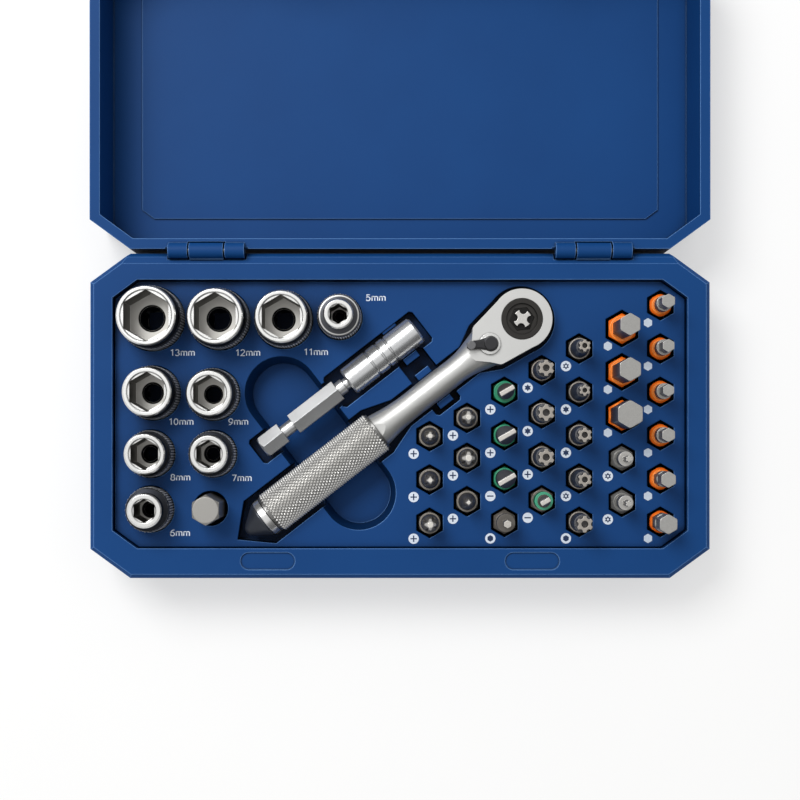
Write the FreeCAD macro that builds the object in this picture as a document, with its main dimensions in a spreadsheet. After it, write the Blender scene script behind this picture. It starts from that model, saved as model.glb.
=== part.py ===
import FreeCAD, Part
import os
import re
import Sketcher

# Socket wrench set in a hinged moulded box: ratchet, bit holder, nine sockets, drive adapter
# and thirty bits, each in its own pocket. Millimetres. The origin is the centre of the base's
# underside, +X runs along the box, +Y points at the hinges and +Z is up.

doc = FreeCAD.newDocument("SocketSet")
sheet = doc.addObject("Spreadsheet::Sheet", "Sizes")

sizes = {
    # moulded box, outside
    "boxWidth": 183.0,
    "boxDepth": 96.0,
    "cornerX": 11.8,
    "cornerY": 8.6,
    "rimHeight": 22.5,
    "lidHeight": 22.5,
    "lidGap": 0.3,
    "wall": 2.0,
    "lidWall": 3.0,
    "rimBevel": 1.2,
    "backBevel": 2.0,
    "lidBevel": 2.2,
    "lidBorder": 12.0,
    "lidStep": 0.6,
    # rim around the tool insert
    "rimSide": 6.7,
    "rimFront": 8.8,
    "rimBack": 7.9,
    "rimThick": 2.4,
    "lipThick": 1.6,
    "lipDepth": 9.0,
    "padLength": 16.1,
    "padWidth": 5.1,
    "padDepth": 0.5,
    "padInset": 5.1,
    # hinges
    "hingeX": 57.0,
    "hingeSetback": 0.6,
    "knuckle": 2.3,
    "middleKnuckle": 10.0,
    "outerKnuckle": 5.7,
    "knuckleGap": 0.5,
    "pinRadius": 1.0,
    "runningFit": 0.06,
    "swingGap": 0.4,
    "lidOpen": 180.0,
    "stopHeight": 7.0,
    "stopFit": 0.1,
    # latches
    "latchX": 39.0,
    "latchWidth": 16.0,
    "latchThick": 1.6,
    "latchRise": 7.0,
    "latchBarrel": 1.6,
    "latchDrop": 5.6,
    "latchEar": 2.6,
    "latchPin": 0.8,
    "hookThick": 1.4,
    "hookReach": 0.9,
    "hookPocket": 1.2,
    # tool insert
    "panelDrop": 3.0,
    "panelThick": 2.0,
    "insertFit": 0.3,
    "cupWall": 1.3,
    "fitGap": 0.3,
    # ratchet
    "headX": 35.8,
    "headY": 28.3,
    "toolAngle": 37.75,
    "ratchetRise": 0.6,
    "headRadius": 8.9,
    "headThick": 9.6,
    "headShoulder": 12.5,
    "headWaist": 7.0,
    "neckRadius": 4.0,
    "neckEnd": 5.25,
    "neckLength": 53.5,
    "gripLength": 40.4,
    "gripRadius": 6.5,
    "coreRadius": 4.0,
    "collarLength": 2.4,
    "collarRadius": 5.8,
    "capLength": 6.5,
    "cavityGap": 1.2,
    # ratchet works
    "gearTip": 6.75,
    "gearDepth": 0.5,
    "gearHeight": 6.0,
    "gearTeeth": 36.0,
    "bossRadius": 6.0,
    "lowerBoss": 5.0,
    "topSkin": 1.6,
    "leverDistance": 12.0,
    "leverRadius": 3.1,
    "leverArm": 6.8,
    "leverThick": 1.7,
    "leverAngle": 32.0,
    "leverShaft": 1.5,
    "pawlSwing": 4.0,
    "pawlHeight": 4.4,
    "driveBitLength": 20.0,
    # bit holder
    "holderMouth": 26.1,
    "holderSide": 16.8,
    "holderRise": 0.3,
    "sleeveLength": 25.6,
    "sleeveRadius": 4.4,
    "ringDepth": 0.3,
    "shankTip": 7.6,
    "shankGroove": 4.1,
    "shankHex": 16.4,
    "shankNeck": 3.9,
    "magnetRadius": 2.6,
    "magnetThick": 2.0,
    "mouthDepth": 11.0,
    # finger trough and clip channel
    "troughAlong": 69.3,
    "troughUpper": 26.3,
    "troughLower": 11.1,
    "cornerSoft": 0.8,
    "troughRadius": 11.0,
    "troughFloor": 9.4,
    "troughDepth": 9.0,
    "clipAlong": 32.4,
    "clipWidth": 4.8,
    "clipThick": 2.0,
    "channelWidth": 9.1,
    "channelDepth": 7.5,
    # sockets
    "socketLength": 25.0,
    "socketDepth": 13.0,
    "socketRecess": 11.0,
    "squareDrive": 6.35,
    "squareDepth": 9.0,
    "bandTop": 20.5,
    "socketFit": 0.7,
    "adapterFlats": 7.8,
    "adapterLeft": 56.2,
    "adapterFront": 27.5,
    # bits
    "bitFlats": 6.35,
    "bitLength": 25.0,
    "bitShort": 14.0,
    "bitTall": 12.0,
    "bitShoulder": 0.5,
    "bitFit": 0.78,
    "largeFlats": 7.94,
    "largeLength": 30.0,
    "largeDepth": 14.5,
    "largeFit": 0.9,
    "bitColumn": 8.8,
    "bitPitch": 11.1,
    "wideStep": 12.7,
    "lastStep": 11.4,
    "bitRow": 31.5,
    "rowPitch": 12.86,
    "fluteTilt": 15.0,
    "slotTilt": 19.0,
    "bladeThick": 1.2,
    "fineNeck": 2.15,
}

worked = {
    # the layout is drawn for a box 183 by 96 and spreads with it
    "spreadX": "boxWidth / 183",
    "spreadY": "boxDepth / 96",
    "toolX": "headX * spreadX",
    "toolY": "headY * spreadY",
    "toolTurn": "atan(tan(toolAngle) * spreadY / spreadX)",
    "toolStretch": "sqrt((cos(toolAngle) * spreadX) ^ 2 + (sin(toolAngle) * spreadY) ^ 2)",
    "neckRun": "neckLength * toolStretch",
    "gripRun": "gripLength * toolStretch",
    "clipSpot": "clipAlong * toolStretch",
    "mouthSpot": "holderMouth * toolStretch",
    "troughSpot": "troughAlong * toolStretch",
    "halfX": "boxWidth / 2",
    "halfY": "boxDepth / 2",
    "cornerLong": "sqrt(cornerX ^ 2 + cornerY ^ 2)",
    "keepX": "1 - (cornerLong - cornerX) / cornerY",
    "keepY": "1 - (cornerLong - cornerY) / cornerX",
    "holeX": "halfX - rimSide",
    "holeBack": "halfY - rimBack",
    "holeFront": "-halfY + rimFront",
    "holeCutX": "cornerX - rimSide * keepX",
    "holeCutY": "cornerY - rimSide * keepY",
    "panelTop": "rimHeight - panelDrop",
    "lidFoot": "rimHeight + lidGap",
    "lidTop": "lidFoot + lidHeight",
    "hingeY": "halfY + hingeSetback",
    "hingeZ": "rimHeight + lidGap / 2",
    "latchY": "-halfY - latchBarrel - lidGap",
    "latchZ": "lidFoot + latchRise",
    "ratchetAxis": "panelTop + ratchetRise",
    "headHalf": "headThick / 2",
    "gripEnd": "neckRun + gripRun",
    "collarEnd": "gripEnd + collarLength",
    "capEnd": "collarEnd + capLength",
    "gripFloor": "ratchetAxis - gripRadius - fitGap",
    "headFloor": "ratchetAxis - headHalf",
    "holderAxis": "panelTop + holderRise",
    "holderFloor": "holderAxis - sleeveRadius - fitGap",
    "gearTop": "headHalf - topSkin - fitGap / 2",
    "gearFoot": "gearTop - gearHeight",
    "wellFloor": "ratchetAxis + headHalf + 0.6 - driveBitLength - fitGap",
}


def formula(text):
    def cell(found):
        name = found.group(0)
        if name in sizes:
            return "Sizes." + name
        if name in worked:
            return "(" + formula(worked[name]) + ")"
        return name
    return re.sub(r"[A-Za-z]+", cell, str(text))


def size(name):
    return float(sheet.get(name))


row = 0
for alias, number in sizes.items():
    row = row + 1
    sheet.set("A" + str(row), alias)
    sheet.set("B" + str(row), str(number))
    sheet.setAlias("B" + str(row), alias)
doc.recompute()

vector = FreeCAD.Vector
upright = FreeCAD.Rotation()
alongX = FreeCAD.Rotation(vector(0, 1, 0), 90)
alongY = FreeCAD.Rotation(vector(1, 0, 0), -90)
standing = FreeCAD.Rotation(vector(1, 0, 0), 90)
pointed = FreeCAD.Rotation(vector(0, 0, 1), 30)


def put(piece, at, turn=upright):
    piece.Placement = FreeCAD.Placement(vector(0, 0, 0), turn)
    for axis, text in zip("xyz", at):
        if str(text) != "0":
            piece.setExpression("Placement.Base." + axis, formula(text))
    return piece


def primitive(kind, name, at, turn, links):
    piece = doc.addObject(kind, name)
    for item, text in links.items():
        piece.setExpression(item, formula(text))
    return put(piece, at, turn)


def box(name, at, length, width, height, turn=upright):
    links = {"Length": length, "Width": width, "Height": height}
    return primitive("Part::Box", name, at, turn, links)


def rod(name, at, radius, height, turn=upright):
    return primitive("Part::Cylinder", name, at, turn, {"Radius": radius, "Height": height})


def cone(name, at, low, high, height, turn=upright):
    links = {"Radius1": low, "Radius2": high, "Height": height}
    return primitive("Part::Cone", name, at, turn, links)


def hexagon(name, at, flats, height, turn=pointed):
    links = {"Circumradius": "(" + str(flats) + ") / sqrt(3)", "Height": height}
    piece = primitive("Part::Prism", name, at, turn, links)
    piece.Polygon = 6
    return piece


def join(name, pieces):
    piece = doc.addObject("Part::MultiFuse", name)
    piece.Shapes = pieces
    piece.Refine = True
    return piece


def cut(name, base, tool):
    piece = doc.addObject("Part::Cut", name)
    piece.Base = base
    piece.Tool = tool
    return piece


def common(name, first, second):
    piece = doc.addObject("Part::Common", name)
    piece.Base = first
    piece.Tool = second
    return piece


def outline(name, points, at=("0", "0", "0"), turn=upright):
    sketch = doc.addObject("Sketcher::SketchObject", name)
    count = len(points)
    for i in range(count):
        here = FreeCAD.Rotation(vector(0, 0, 1), 360.0 * i / count).multVec(vector(10, 0, 0))
        there = FreeCAD.Rotation(vector(0, 0, 1), 360.0 / count).multVec(here)
        sketch.addGeometry(Part.LineSegment(here, there), False)
    for i in range(count):
        sketch.addConstraint(Sketcher.Constraint("Coincident", i, 2, (i + 1) % count, 1))
    for i, (across, along) in enumerate(points):
        for kind, axis, text in (("DistanceX", -2, across), ("DistanceY", -1, along)):
            if str(text) == "0":
                sketch.addConstraint(Sketcher.Constraint("PointOnObject", i, 1, axis))
            else:
                made = sketch.addConstraint(Sketcher.Constraint(kind, -1, 1, i, 1, 10.0))
                sketch.setExpression("Constraints[" + str(made) + "]", formula(text))
    return put(sketch, at, turn)


def rise(name, sketch, height):
    piece = doc.addObject("Part::Extrusion", name)
    piece.Base = sketch
    piece.DirMode = "Normal"
    piece.Solid = True
    piece.setExpression("LengthFwd", formula(height))
    return piece


def spin(name, points):
    piece = doc.addObject("Part::Revolution", name)
    piece.Source = outline(name + "Profile", points, turn=standing)
    piece.Axis = vector(0, 0, 1)
    piece.Angle = 360
    piece.Solid = True
    return piece


def bevel(name, base, chosen, width):
    doc.recompute()
    piece = doc.addObject("Part::Chamfer", name)
    piece.Base = base
    picked = []
    for i, edge in enumerate(base.Shape.Edges):
        reach = chosen(edge.CenterOfMass, edge.BoundBox)
        if reach:
            picked.append((i + 1, width, width))
    piece.Edges = picked
    return piece


def mirror(points):
    return points + [(across, "-(" + along + ")") for across, along in reversed(points) if along != "0"]


subparts = []


def keep(piece, name):
    piece.Label = name
    subparts.append(piece)
    return piece


def lay(piece, along, aside, height):
    piece.Placement = FreeCAD.Placement(vector(0, 0, 0), FreeCAD.Rotation(vector(0, 0, 1), 1))
    piece.setExpression("Placement.Rotation.Angle", formula("toolTurn"))
    across = f"toolX + ({along}) * cos(toolTurn) - ({aside}) * sin(toolTurn)"
    back = f"toolY + ({along}) * sin(toolTurn) + ({aside}) * cos(toolTurn)"
    piece.setExpression("Placement.Base.x", formula(across))
    piece.setExpression("Placement.Base.y", formula(back))
    piece.setExpression("Placement.Base.z", formula(height))
    return piece


def openWithLid(piece):
    piece.Placement = FreeCAD.Placement(vector(0, 0, 0), FreeCAD.Rotation(vector(-1, 0, 0), 1))
    piece.setExpression("Placement.Rotation.Angle", formula("lidOpen"))
    back = "hingeY - hingeY * cos(lidOpen) - hingeZ * sin(lidOpen)"
    up = "hingeZ + hingeY * sin(lidOpen) - hingeZ * cos(lidOpen)"
    piece.setExpression("Placement.Base.y", formula(back))
    piece.setExpression("Placement.Base.z", formula(up))
    return piece


def octagon(name, side, back, front, cutX, cutY, foot):
    points = [
        (side, f"{front} + {cutY}"),
        (side, f"{back} - ({cutY})"),
        (f"{side} - ({cutX})", back),
        (f"-({side}) + {cutX}", back),
        (f"-({side})", f"{back} - ({cutY})"),
        (f"-({side})", f"{front} + {cutY}"),
        (f"-({side}) + {cutX}", front),
        (f"{side} - ({cutX})", front),
    ]
    return outline(name, points, at=("0", "0", foot))


def shellOutline(name, inset, foot):
    cutX = f"(cornerX - ({inset}) * keepX)"
    cutY = f"(cornerY - ({inset}) * keepY)"
    back = f"(halfY - ({inset}))"
    return octagon(name, f"(halfX - ({inset}))", back, "-" + back, cutX, cutY, foot)


def holeOutline(name, inset, foot):
    cutX = f"(holeCutX - ({inset}) * keepX)"
    cutY = f"(holeCutY - ({inset}) * keepY)"
    side = f"(holeX - ({inset}))"
    return octagon(name, side, f"(holeBack - ({inset}))", f"(holeFront + {inset})", cutX, cutY, foot)


# Base shell: outer skin, wide rim, short lip around the insert, hinge knuckles with stop pads
rim = size("rimHeight")
deep = size("boxDepth") / 2


def atRim(middle, bounds):
    return bounds.ZMin > rim - 0.01 and middle.y < deep - 0.01


def atBackRim(middle, bounds):
    return bounds.ZMin > rim - 0.01 and bounds.YMin > deep - 0.01


baseBlock = rise("baseBlock", shellOutline("baseOutline", "0", "0"), "rimHeight")
baseBack = bevel("baseBack", baseBlock, atBackRim, size("backBevel"))
baseTop = bevel("baseTop", baseBack, lambda c, b: atRim(c, b) and b.YMax < deep - 1.9, size("rimBevel"))
baseSkin = bevel("baseSkin", baseTop, lambda c, b: b.ZMax < 0.01, size("rimBevel"))

well = rise("well", holeOutline("wellOutline", "0", "wall"), "rimHeight")
sideVoid = rise("sideVoid", shellOutline("voidOutline", "wall", "wall"), "rimHeight - wall - rimThick")
lipBlock = rise("lipBlock", holeOutline("lipOutline", "-lipThick", "rimHeight - lipDepth"), "lipDepth")
hollow = cut("hollow", sideVoid, lipBlock)

baseAdds = []
baseCuts = [well, hollow]
lidAdds = []
lidCuts = []
hingePins = []
for name, sign in (("left", "-"), ("right", "")):
    middle = f"{sign}hingeX - middleKnuckle / 2"
    barrel = rod(name + "Barrel", (middle, "hingeY", "hingeZ"), "knuckle", "middleKnuckle", alongX)
    web = box(name + "Web", (middle, "halfY - wall", "hingeZ - knuckle"),
              "middleKnuckle", "hingeSetback + wall", "knuckle")
    # the opened lid's back wall comes to rest against this pad
    stop = box(name + "Stop", (middle, "halfY - wall / 2", "hingeZ - knuckle - stopHeight"),
               "middleKnuckle", "2 * hingeSetback + wall / 2 - stopFit", "stopHeight")
    baseAdds.extend([barrel, web, stop])
    hole = rod(name + "BaseHole", (f"{middle} - 1", "hingeY", "hingeZ"),
               "pinRadius + runningFit", "middleKnuckle + 2", alongX)
    baseCuts.append(hole)
    span = "middleKnuckle + 2 * knuckleGap"
    lidCuts.append(rod(name + "LidNotch", (f"{sign}hingeX - ({span}) / 2", "hingeY", "hingeZ"),
                       "knuckle + swingGap", span, alongX))
    for side, begin in (("Out", f"-({span}) / 2 - outerKnuckle"), ("In", f"({span}) / 2")):
        place = f"{sign}hingeX + {begin}"
        baseCuts.append(rod(name + side + "Notch", (f"{place} - knuckleGap", "hingeY", "hingeZ"),
                            "knuckle + swingGap", "outerKnuckle + 2 * knuckleGap", alongX))
        lidAdds.append(rod(name + side + "Ear", (place, "hingeY", "hingeZ"),
                           "knuckle", "outerKnuckle", alongX))
        lidAdds.append(box(name + side + "Arm", (place, "halfY - lidWall", "lidFoot"),
                           "outerKnuckle", "hingeSetback + lidWall", "knuckle - lidGap / 2"))
    length = "middleKnuckle + 2 * knuckleGap + 2 * outerKnuckle"
    lidCuts.append(rod(name + "LidHole", (f"{sign}hingeX - ({length}) / 2 - 1", "hingeY", "hingeZ"),
                       "pinRadius", f"{length} + 2", alongX))
    hingePins.append(rod(name + "HingePin", (f"{sign}hingeX - ({length}) / 2 + 0.2", "hingeY", "hingeZ"),
                         "pinRadius", f"{length} - 0.4", alongX))

for name, sign in (("left", "-"), ("right", "")):
    half = "(padLength - padWidth) / 2"
    row = "-halfY + padInset"
    level = "rimHeight - padDepth"
    baseCuts.append(box(name + "PadMiddle", (f"{sign}latchX - {half}", f"{row} - padWidth / 2", level),
                        "padLength - padWidth", "padWidth", "padDepth + 1"))
    for side in ("-", "+"):
        end = "PadFirst" if side == "-" else "PadLast"
        baseCuts.append(rod(name + end, (f"{sign}latchX {side} {half}", row, level),
                            "padWidth / 2", "padDepth + 1"))
    baseCuts.append(box(name + "HookPocket",
                        (f"{sign}latchX - latchWidth / 2 - lidGap", "-halfY - 1",
                         "rimHeight - latchDrop - 2 * lidGap"),
                        "latchWidth + 2 * lidGap", "hookPocket + 1", "hookThick + 3 * lidGap"))

baseBody = join("baseBody", [baseSkin] + baseAdds)
keep(cut("baseShell", baseBody, join("baseCuts", baseCuts)), "base_shell")

# Lid, modelled closed and then swung open about the hinge line
top = size("rimHeight") + size("lidGap") + size("lidHeight")
lidBlock = rise("lidBlock", shellOutline("lidOutline", "0", "lidFoot"), "lidHeight")
lidSkin = bevel("lidSkin", lidBlock, lambda c, b: b.ZMin > top - 0.01, size("lidBevel"))
lidSpace = rise("lidSpace", shellOutline("lidSpaceOutline", "lidWall", "lidFoot"), "lidHeight - wall")
lidPanel = rise("lidPanel", shellOutline("lidPanelOutline", "lidBorder", "lidTop - wall - lidStep"), "wall")
lidCuts.append(cut("lidHollow", lidSpace, lidPanel))
lidCuts.append(rise("lidField", shellOutline("lidFieldOutline", "lidBorder", "lidTop - lidStep"), "2"))
for name, sign in (("left", "-"), ("right", "")):
    for side, begin in (("Outer", "-latchWidth / 2"), ("Inner", "latchWidth / 2 - latchEar")):
        place = f"{sign}latchX + {begin}"
        lidAdds.append(rod(name + side + "Lug", (place, "latchY", "latchZ"),
                           "latchBarrel", "latchEar", alongX))
        lidAdds.append(box(name + side + "Foot", (place, "latchY", "latchZ - latchBarrel"),
                           "latchEar", "latchBarrel + lidGap + lidWall / 2", "2 * latchBarrel"))
    lidCuts.append(rod(name + "LugHole", (f"{sign}latchX - latchWidth / 2 - 1", "latchY", "latchZ"),
                       "latchPin", "latchWidth + 2", alongX))
lidBody = join("lidBody", [lidSkin] + lidAdds)
keep(openWithLid(cut("lidShell", lidBody, join("lidCuts", lidCuts))), "lid_shell")
keep(openWithLid(join("hingePins", hingePins)), "hinge_pins")

# Latches: a flap with a barrel between the lid's lugs and a hook along its lower edge
latchPins = []
for name, sign in (("left", "-"), ("right", "")):
    inside = "latchWidth - 2 * latchEar - 2 * lidGap"
    barrel = rod(name + "FlapBarrel", (f"{sign}latchX - ({inside}) / 2", "latchY", "latchZ"),
                 "latchBarrel", inside, alongX)
    neck = box(name + "FlapNeck", (f"{sign}latchX - ({inside}) / 2", "latchY - latchThick",
                                   "latchZ - latchBarrel - 1.5"),
               inside, "latchThick", "latchBarrel + 1.5")
    drop = "latchRise + lidGap + latchDrop - latchBarrel - 2 * lidGap"
    plate = box(name + "FlapPlate", (f"{sign}latchX - latchWidth / 2", "latchY - latchThick",
                                     "rimHeight - latchDrop"),
                "latchWidth", "latchThick", drop)
    hook = box(name + "FlapHook", (f"{sign}latchX - latchWidth / 2", "latchY - latchThick / 2",
                                   "rimHeight - latchDrop"),
               "latchWidth", "latchThick / 2 + latchBarrel + lidGap + hookReach", "hookThick")
    grip = rod(name + "FlapGrip", (f"{sign}latchX - latchWidth / 2", "latchY - latchThick",
                                   "rimHeight - latchDrop + 1.2"),
               "1.2", "latchWidth", alongX)
    flap = join(name + "Flap", [barrel, neck, plate, hook, grip])
    hole = rod(name + "FlapHole", (f"{sign}latchX - latchWidth / 2", "latchY", "latchZ"),
               "latchPin + runningFit", "latchWidth", alongX)
    keep(openWithLid(cut(name + "Latch", flap, hole)), name + "_latch")
    latchPins.append(rod(name + "LatchPin", (f"{sign}latchX - latchWidth / 2 + 0.2", "latchY", "latchZ"),
                         "latchPin", "latchWidth - 0.4", alongX))
keep(openWithLid(join("latchPins", latchPins)), "latch_pins")

# Every pocket of the insert is cut with one shape and walled with a wider one around it
pockets = []
cups = []


def pocket(name, maker, place, width, floor):
    at = (place[0], place[1], floor)
    pockets.append(maker(name + "Pocket", at, width, f"panelTop - ({floor}) + 1"))
    wider = f"({width}) + cupWall" if maker is rod else f"({width}) + 2 * cupWall"
    at = (place[0], place[1], "wall")
    cups.append(maker(name + "Cup", at, wider, "panelTop - wall"))


# Sockets: size, place, rim radius, band radius
socketRows = {
    "thirteen": (13, -73.4, 28.75, 8.7, 9.0),
    "twelve": (12, -53.5, 28.55, 8.2, 8.5),
    "eleven": (11, -34.4, 28.45, 7.7, 8.0),
    "ten": (10, -73.15, 6.7, 7.2, 7.5),
    "nine": (9, -55.2, 6.3, 6.7, 7.2),
    "eight": (8, -73.8, -11.3, 6.0, 6.5),
    "seven": (7, -55.3, -11.3, 5.6, 6.4),
    "six": (6, -73.9, -27.7, 5.1, 6.3),
    "five": (5, -17.85, 29.2, 4.4, 6.1),
}
for word, (flats, across, along, rimRadius, bandRadius) in socketRows.items():
    x, y = f"{across} * spreadX", f"{along} * spreadY"
    pocket(word, rod, (x, y), f"{bandRadius} + socketFit", "panelTop - socketDepth")
    profile = [
        ("0", "0"),
        (f"{bandRadius} - 0.6", "0"),
        (f"{bandRadius}", "0.6"),
        (f"{bandRadius}", "bandTop - 0.5"),
        (f"{rimRadius} - 0.35", "bandTop"),
        (f"{rimRadius} - 0.35", "bandTop + 0.7"),
        (f"{rimRadius}", "bandTop + 1.2"),
        (f"{rimRadius}", "socketLength - 0.5"),
        (f"{rimRadius} - 0.4", "socketLength"),
        ("0", "socketLength"),
    ]
    blank = spin(word + "Blank", profile)
    bore = f"{flats} * 0.27"
    mouth = f"{flats} / sqrt(3)"
    tools = [
        hexagon(word + "Recess", ("0", "0", "socketLength - socketRecess"), flats, "socketRecess + 1"),
        rod(word + "Bore", ("0", "0", "1"), bore, "socketLength - socketRecess"),
        box(word + "Square", ("-squareDrive / 2", "-squareDrive / 2", "-1"),
            "squareDrive", "squareDrive", "squareDepth + 1"),
        cone(word + "Lead", ("0", "0", "socketLength - 0.35"), f"{mouth} - 0.2", f"{mouth} + 0.15", "0.36"),
    ]
    socket = cut(word + "Socket", blank, join(word + "Tools", tools))
    keep(put(socket, (x, y, "panelTop - socketDepth")), "socket_" + str(flats))

# Drive adapter: hexagon bar with a square hole in its foot
adapterX, adapterY = "-adapterLeft * spreadX", "-adapterFront * spreadY"
pocket("adapter", rod, (adapterX, adapterY), "adapterFlats / sqrt(3) + socketFit", "panelTop - socketDepth")
adapterBar = hexagon("adapterBar", ("0", "0", "0"), "adapterFlats", "socketLength")
adapterTop = cone("adapterTop", ("0", "0", "0"), "adapterFlats / 2 + socketLength",
                  "adapterFlats / 2 - 0.2", "socketLength")
adapterSquare = hexagon("adapterSquare", ("0", "0", "-1"), "bitFlats", "squareDepth + 1")
adapter = cut("adapter", common("adapterBlank", adapterBar, adapterTop), adapterSquare)
keep(put(adapter, (adapterX, adapterY, "panelTop - socketDepth")), "drive_adapter")

# Bits stand in staggered columns
columns = {
    "A": "bitColumn",
    "B": "bitColumn + bitPitch",
    "C": "bitColumn + 2 * bitPitch",
    "D": "bitColumn + 3 * bitPitch",
    "E": "bitColumn + 4 * bitPitch",
    "F": "bitColumn + 4 * bitPitch + wideStep",
    "G": "bitColumn + 4 * bitPitch + wideStep + lastStep",
}


# some columns stand a little nearer the front
columnDrop = {"A": 0.3, "B": 0.3, "F": 0.5}


def spot(column, step):
    lift = " + rowPitch / 2" if column in "BDF" else ""
    drop = columnDrop.get(column, 0)
    return f"({columns[column]}) * spreadX", f"(-bitRow + {step} * rowPitch{lift} - {drop}) * spreadY"


def bitShank(name, flats, depth, edge):
    # hexagon bar whose top corners are turned down to a round edge
    height = f"{depth} + bitShoulder"
    bar = hexagon(name + "Bar", ("0", "0", "0"), flats, height)
    ends = cone(name + "Ends", ("0", "0", "0"), f"{edge} + {height}", edge, height)
    return common(name + "Shank", bar, ends)


def crossTip(name, width, foot, tip):
    # conical point with four tilted flutes
    body = cone(name + "Body", ("0", "0", foot), "bitFlats / 2 - 0.45", f"{width} / 2 + 0.55",
                f"{tip} - 3.2 - ({foot})")
    point = cone(name + "Point", ("0", "0", f"{tip} - 3.2"), f"{width} / 2 + 0.55", f"{width} * 0.22", "3.2")
    flutes = []
    for quarter in range(4):
        turn = FreeCAD.Rotation(vector(0, 0, 1), 45 + 90 * quarter)
        turn = turn.multiply(FreeCAD.Rotation(vector(0, 1, 0), -size("fluteTilt")))
        turn = turn.multiply(FreeCAD.Rotation(vector(0, 0, 1), -45))
        reach = f"({width} * 0.2 + 4.2 * tan(fluteTilt))"
        swing = 45 + 90 * quarter
        at = (f"{reach} * cos({swing})", f"{reach} * sin({swing})", f"{tip} - 4.2")
        flutes.append(box(name + "Flute" + str(quarter), at, "4", "4", "8", turn))
    return cut(name + "Tip", join(name + "Cone", [body, point]), join(name + "Flutes", flutes))


def slottedTip(name, width, foot, tip):
    # round stem ground to a blade on two sides
    stem = rod(name + "Stem", ("0", "0", foot), f"{width} / 2", f"{tip} - ({foot})")
    sides = []
    for side in (1, -1):
        turn = FreeCAD.Rotation(vector(1, 0, 0), side * size("slotTilt"))
        edge = "bladeThick / 2 + 7 * tan(slotTilt)"
        up = f"{tip} - 7" if side == 1 else f"{tip} - 7 + 8 * sin(slotTilt)"
        where = f"{edge}" if side == 1 else f"-({edge}) - 8 * cos(slotTilt)"
        sides.append(box(name + "Face" + str(side + 1), ("-4", where, up), "8", "8", "12", turn))
    blade = cut(name + "Tip", stem, join(name + "Faces", sides))
    if size("bitFlats") / 2 - width / 2 < 1.2:
        return blade
    # a narrow blade rises from a turned neck
    neck = rod(name + "Neck", ("0", "0", foot), "fineNeck + 0.5", f"({tip} - ({foot})) * 0.55")
    core = rod(name + "Core", ("0", "0", foot), "fineNeck - 0.2", f"({tip} - ({foot})) * 0.58")
    return join(name + "Stepped", [neck, core, blade])


def lobes(name, width, foot, tip, post, hole):
    # six rounded lobes cut around the end of a round post
    scallops = []
    for sixth in range(6):
        swing = 60 * sixth
        at = (f"{width} * 0.535 * cos({swing})", f"{width} * 0.535 * sin({swing})", foot)
        scallops.append(rod(name + "Scallop" + str(sixth), at, f"{width} * 0.165", f"{tip} - ({foot}) + 1"))
    if hole:
        scallops.append(rod(name + "Hole", ("0", "0", f"{tip} - 2.5"), f"{width} * 0.22", "4"))
    return cut(name + "Tip", post, join(name + "Scallops", scallops))


def lobeTip(name, width, foot, tip):
    stem = cone(name + "Stem", ("0", "0", foot), "bitFlats / 2 - 0.35", f"{width} / 2 + 0.25",
                f"{tip} - 4 - ({foot})")
    point = rod(name + "Point", ("0", "0", f"{tip} - 4.01"), f"{width} / 2", "4.01")
    return lobes(name, width, f"{tip} - 3.6", tip, join(name + "Post", [stem, point]), True)


def fineTip(name, width, foot, tip):
    # slim lobed point on a stepped round neck
    root = rod(name + "Root", ("0", "0", foot), "fineNeck - 0.35", f"({tip} - ({foot})) * 0.3")
    neck = rod(name + "Neck", ("0", "0", f"{foot} + ({tip} - ({foot})) * 0.2"), "fineNeck",
               f"({tip} - ({foot})) * 0.36")
    point = rod(name + "Point", ("0", "0", foot), f"{width} / 2", f"{tip} - ({foot})")
    post = join(name + "Post", [root, neck, point])
    return lobes(name, width, f"{foot} + ({tip} - ({foot})) * 0.56", tip, post, False)


def hexTip(name, width, foot, tip, collar):
    # hexagon key rising from a turned collar
    stalk = rod(name + "Stalk", ("0", "0", foot), f"{collar} - 0.35", f"({tip} - ({foot})) * 0.3")
    ring = rod(name + "Ring", ("0", "0", f"{foot} + ({tip} - ({foot})) * 0.2"), collar,
               f"({tip} - ({foot})) * 0.3")
    bar = hexagon(name + "Key", ("0", "0", foot), width, f"{tip} - ({foot})")
    ends = cone(name + "KeyEnds", ("0", "0", foot), f"{width} / 2 + 0.12 + {tip} - ({foot})",
                f"{width} / 2 + 0.12", f"{tip} - ({foot})")
    return join(name + "Tip", [stalk, ring, common(name + "KeyBar", bar, ends)])


def largeTip(name, width, foot, tip):
    # hexagon key straight out of the bar
    bar = hexagon(name + "Key", ("0", "0", foot), width, f"{tip} - ({foot})")
    ends = cone(name + "KeyEnds", ("0", "0", foot), f"{width} / 2 + 0.25 + {tip} - ({foot})",
                f"{width} / 2 + 0.25", f"{tip} - ({foot})")
    return common(name + "Tip", bar, ends)


# how far each kind's bar is turned down inside its flats at the shoulder
bitEdges = {"cross": 0.1, "slotted": 0.1, "lobe": 0.15, "fine": 0.6, "hex": 0.65, "large": 0.3}

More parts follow.
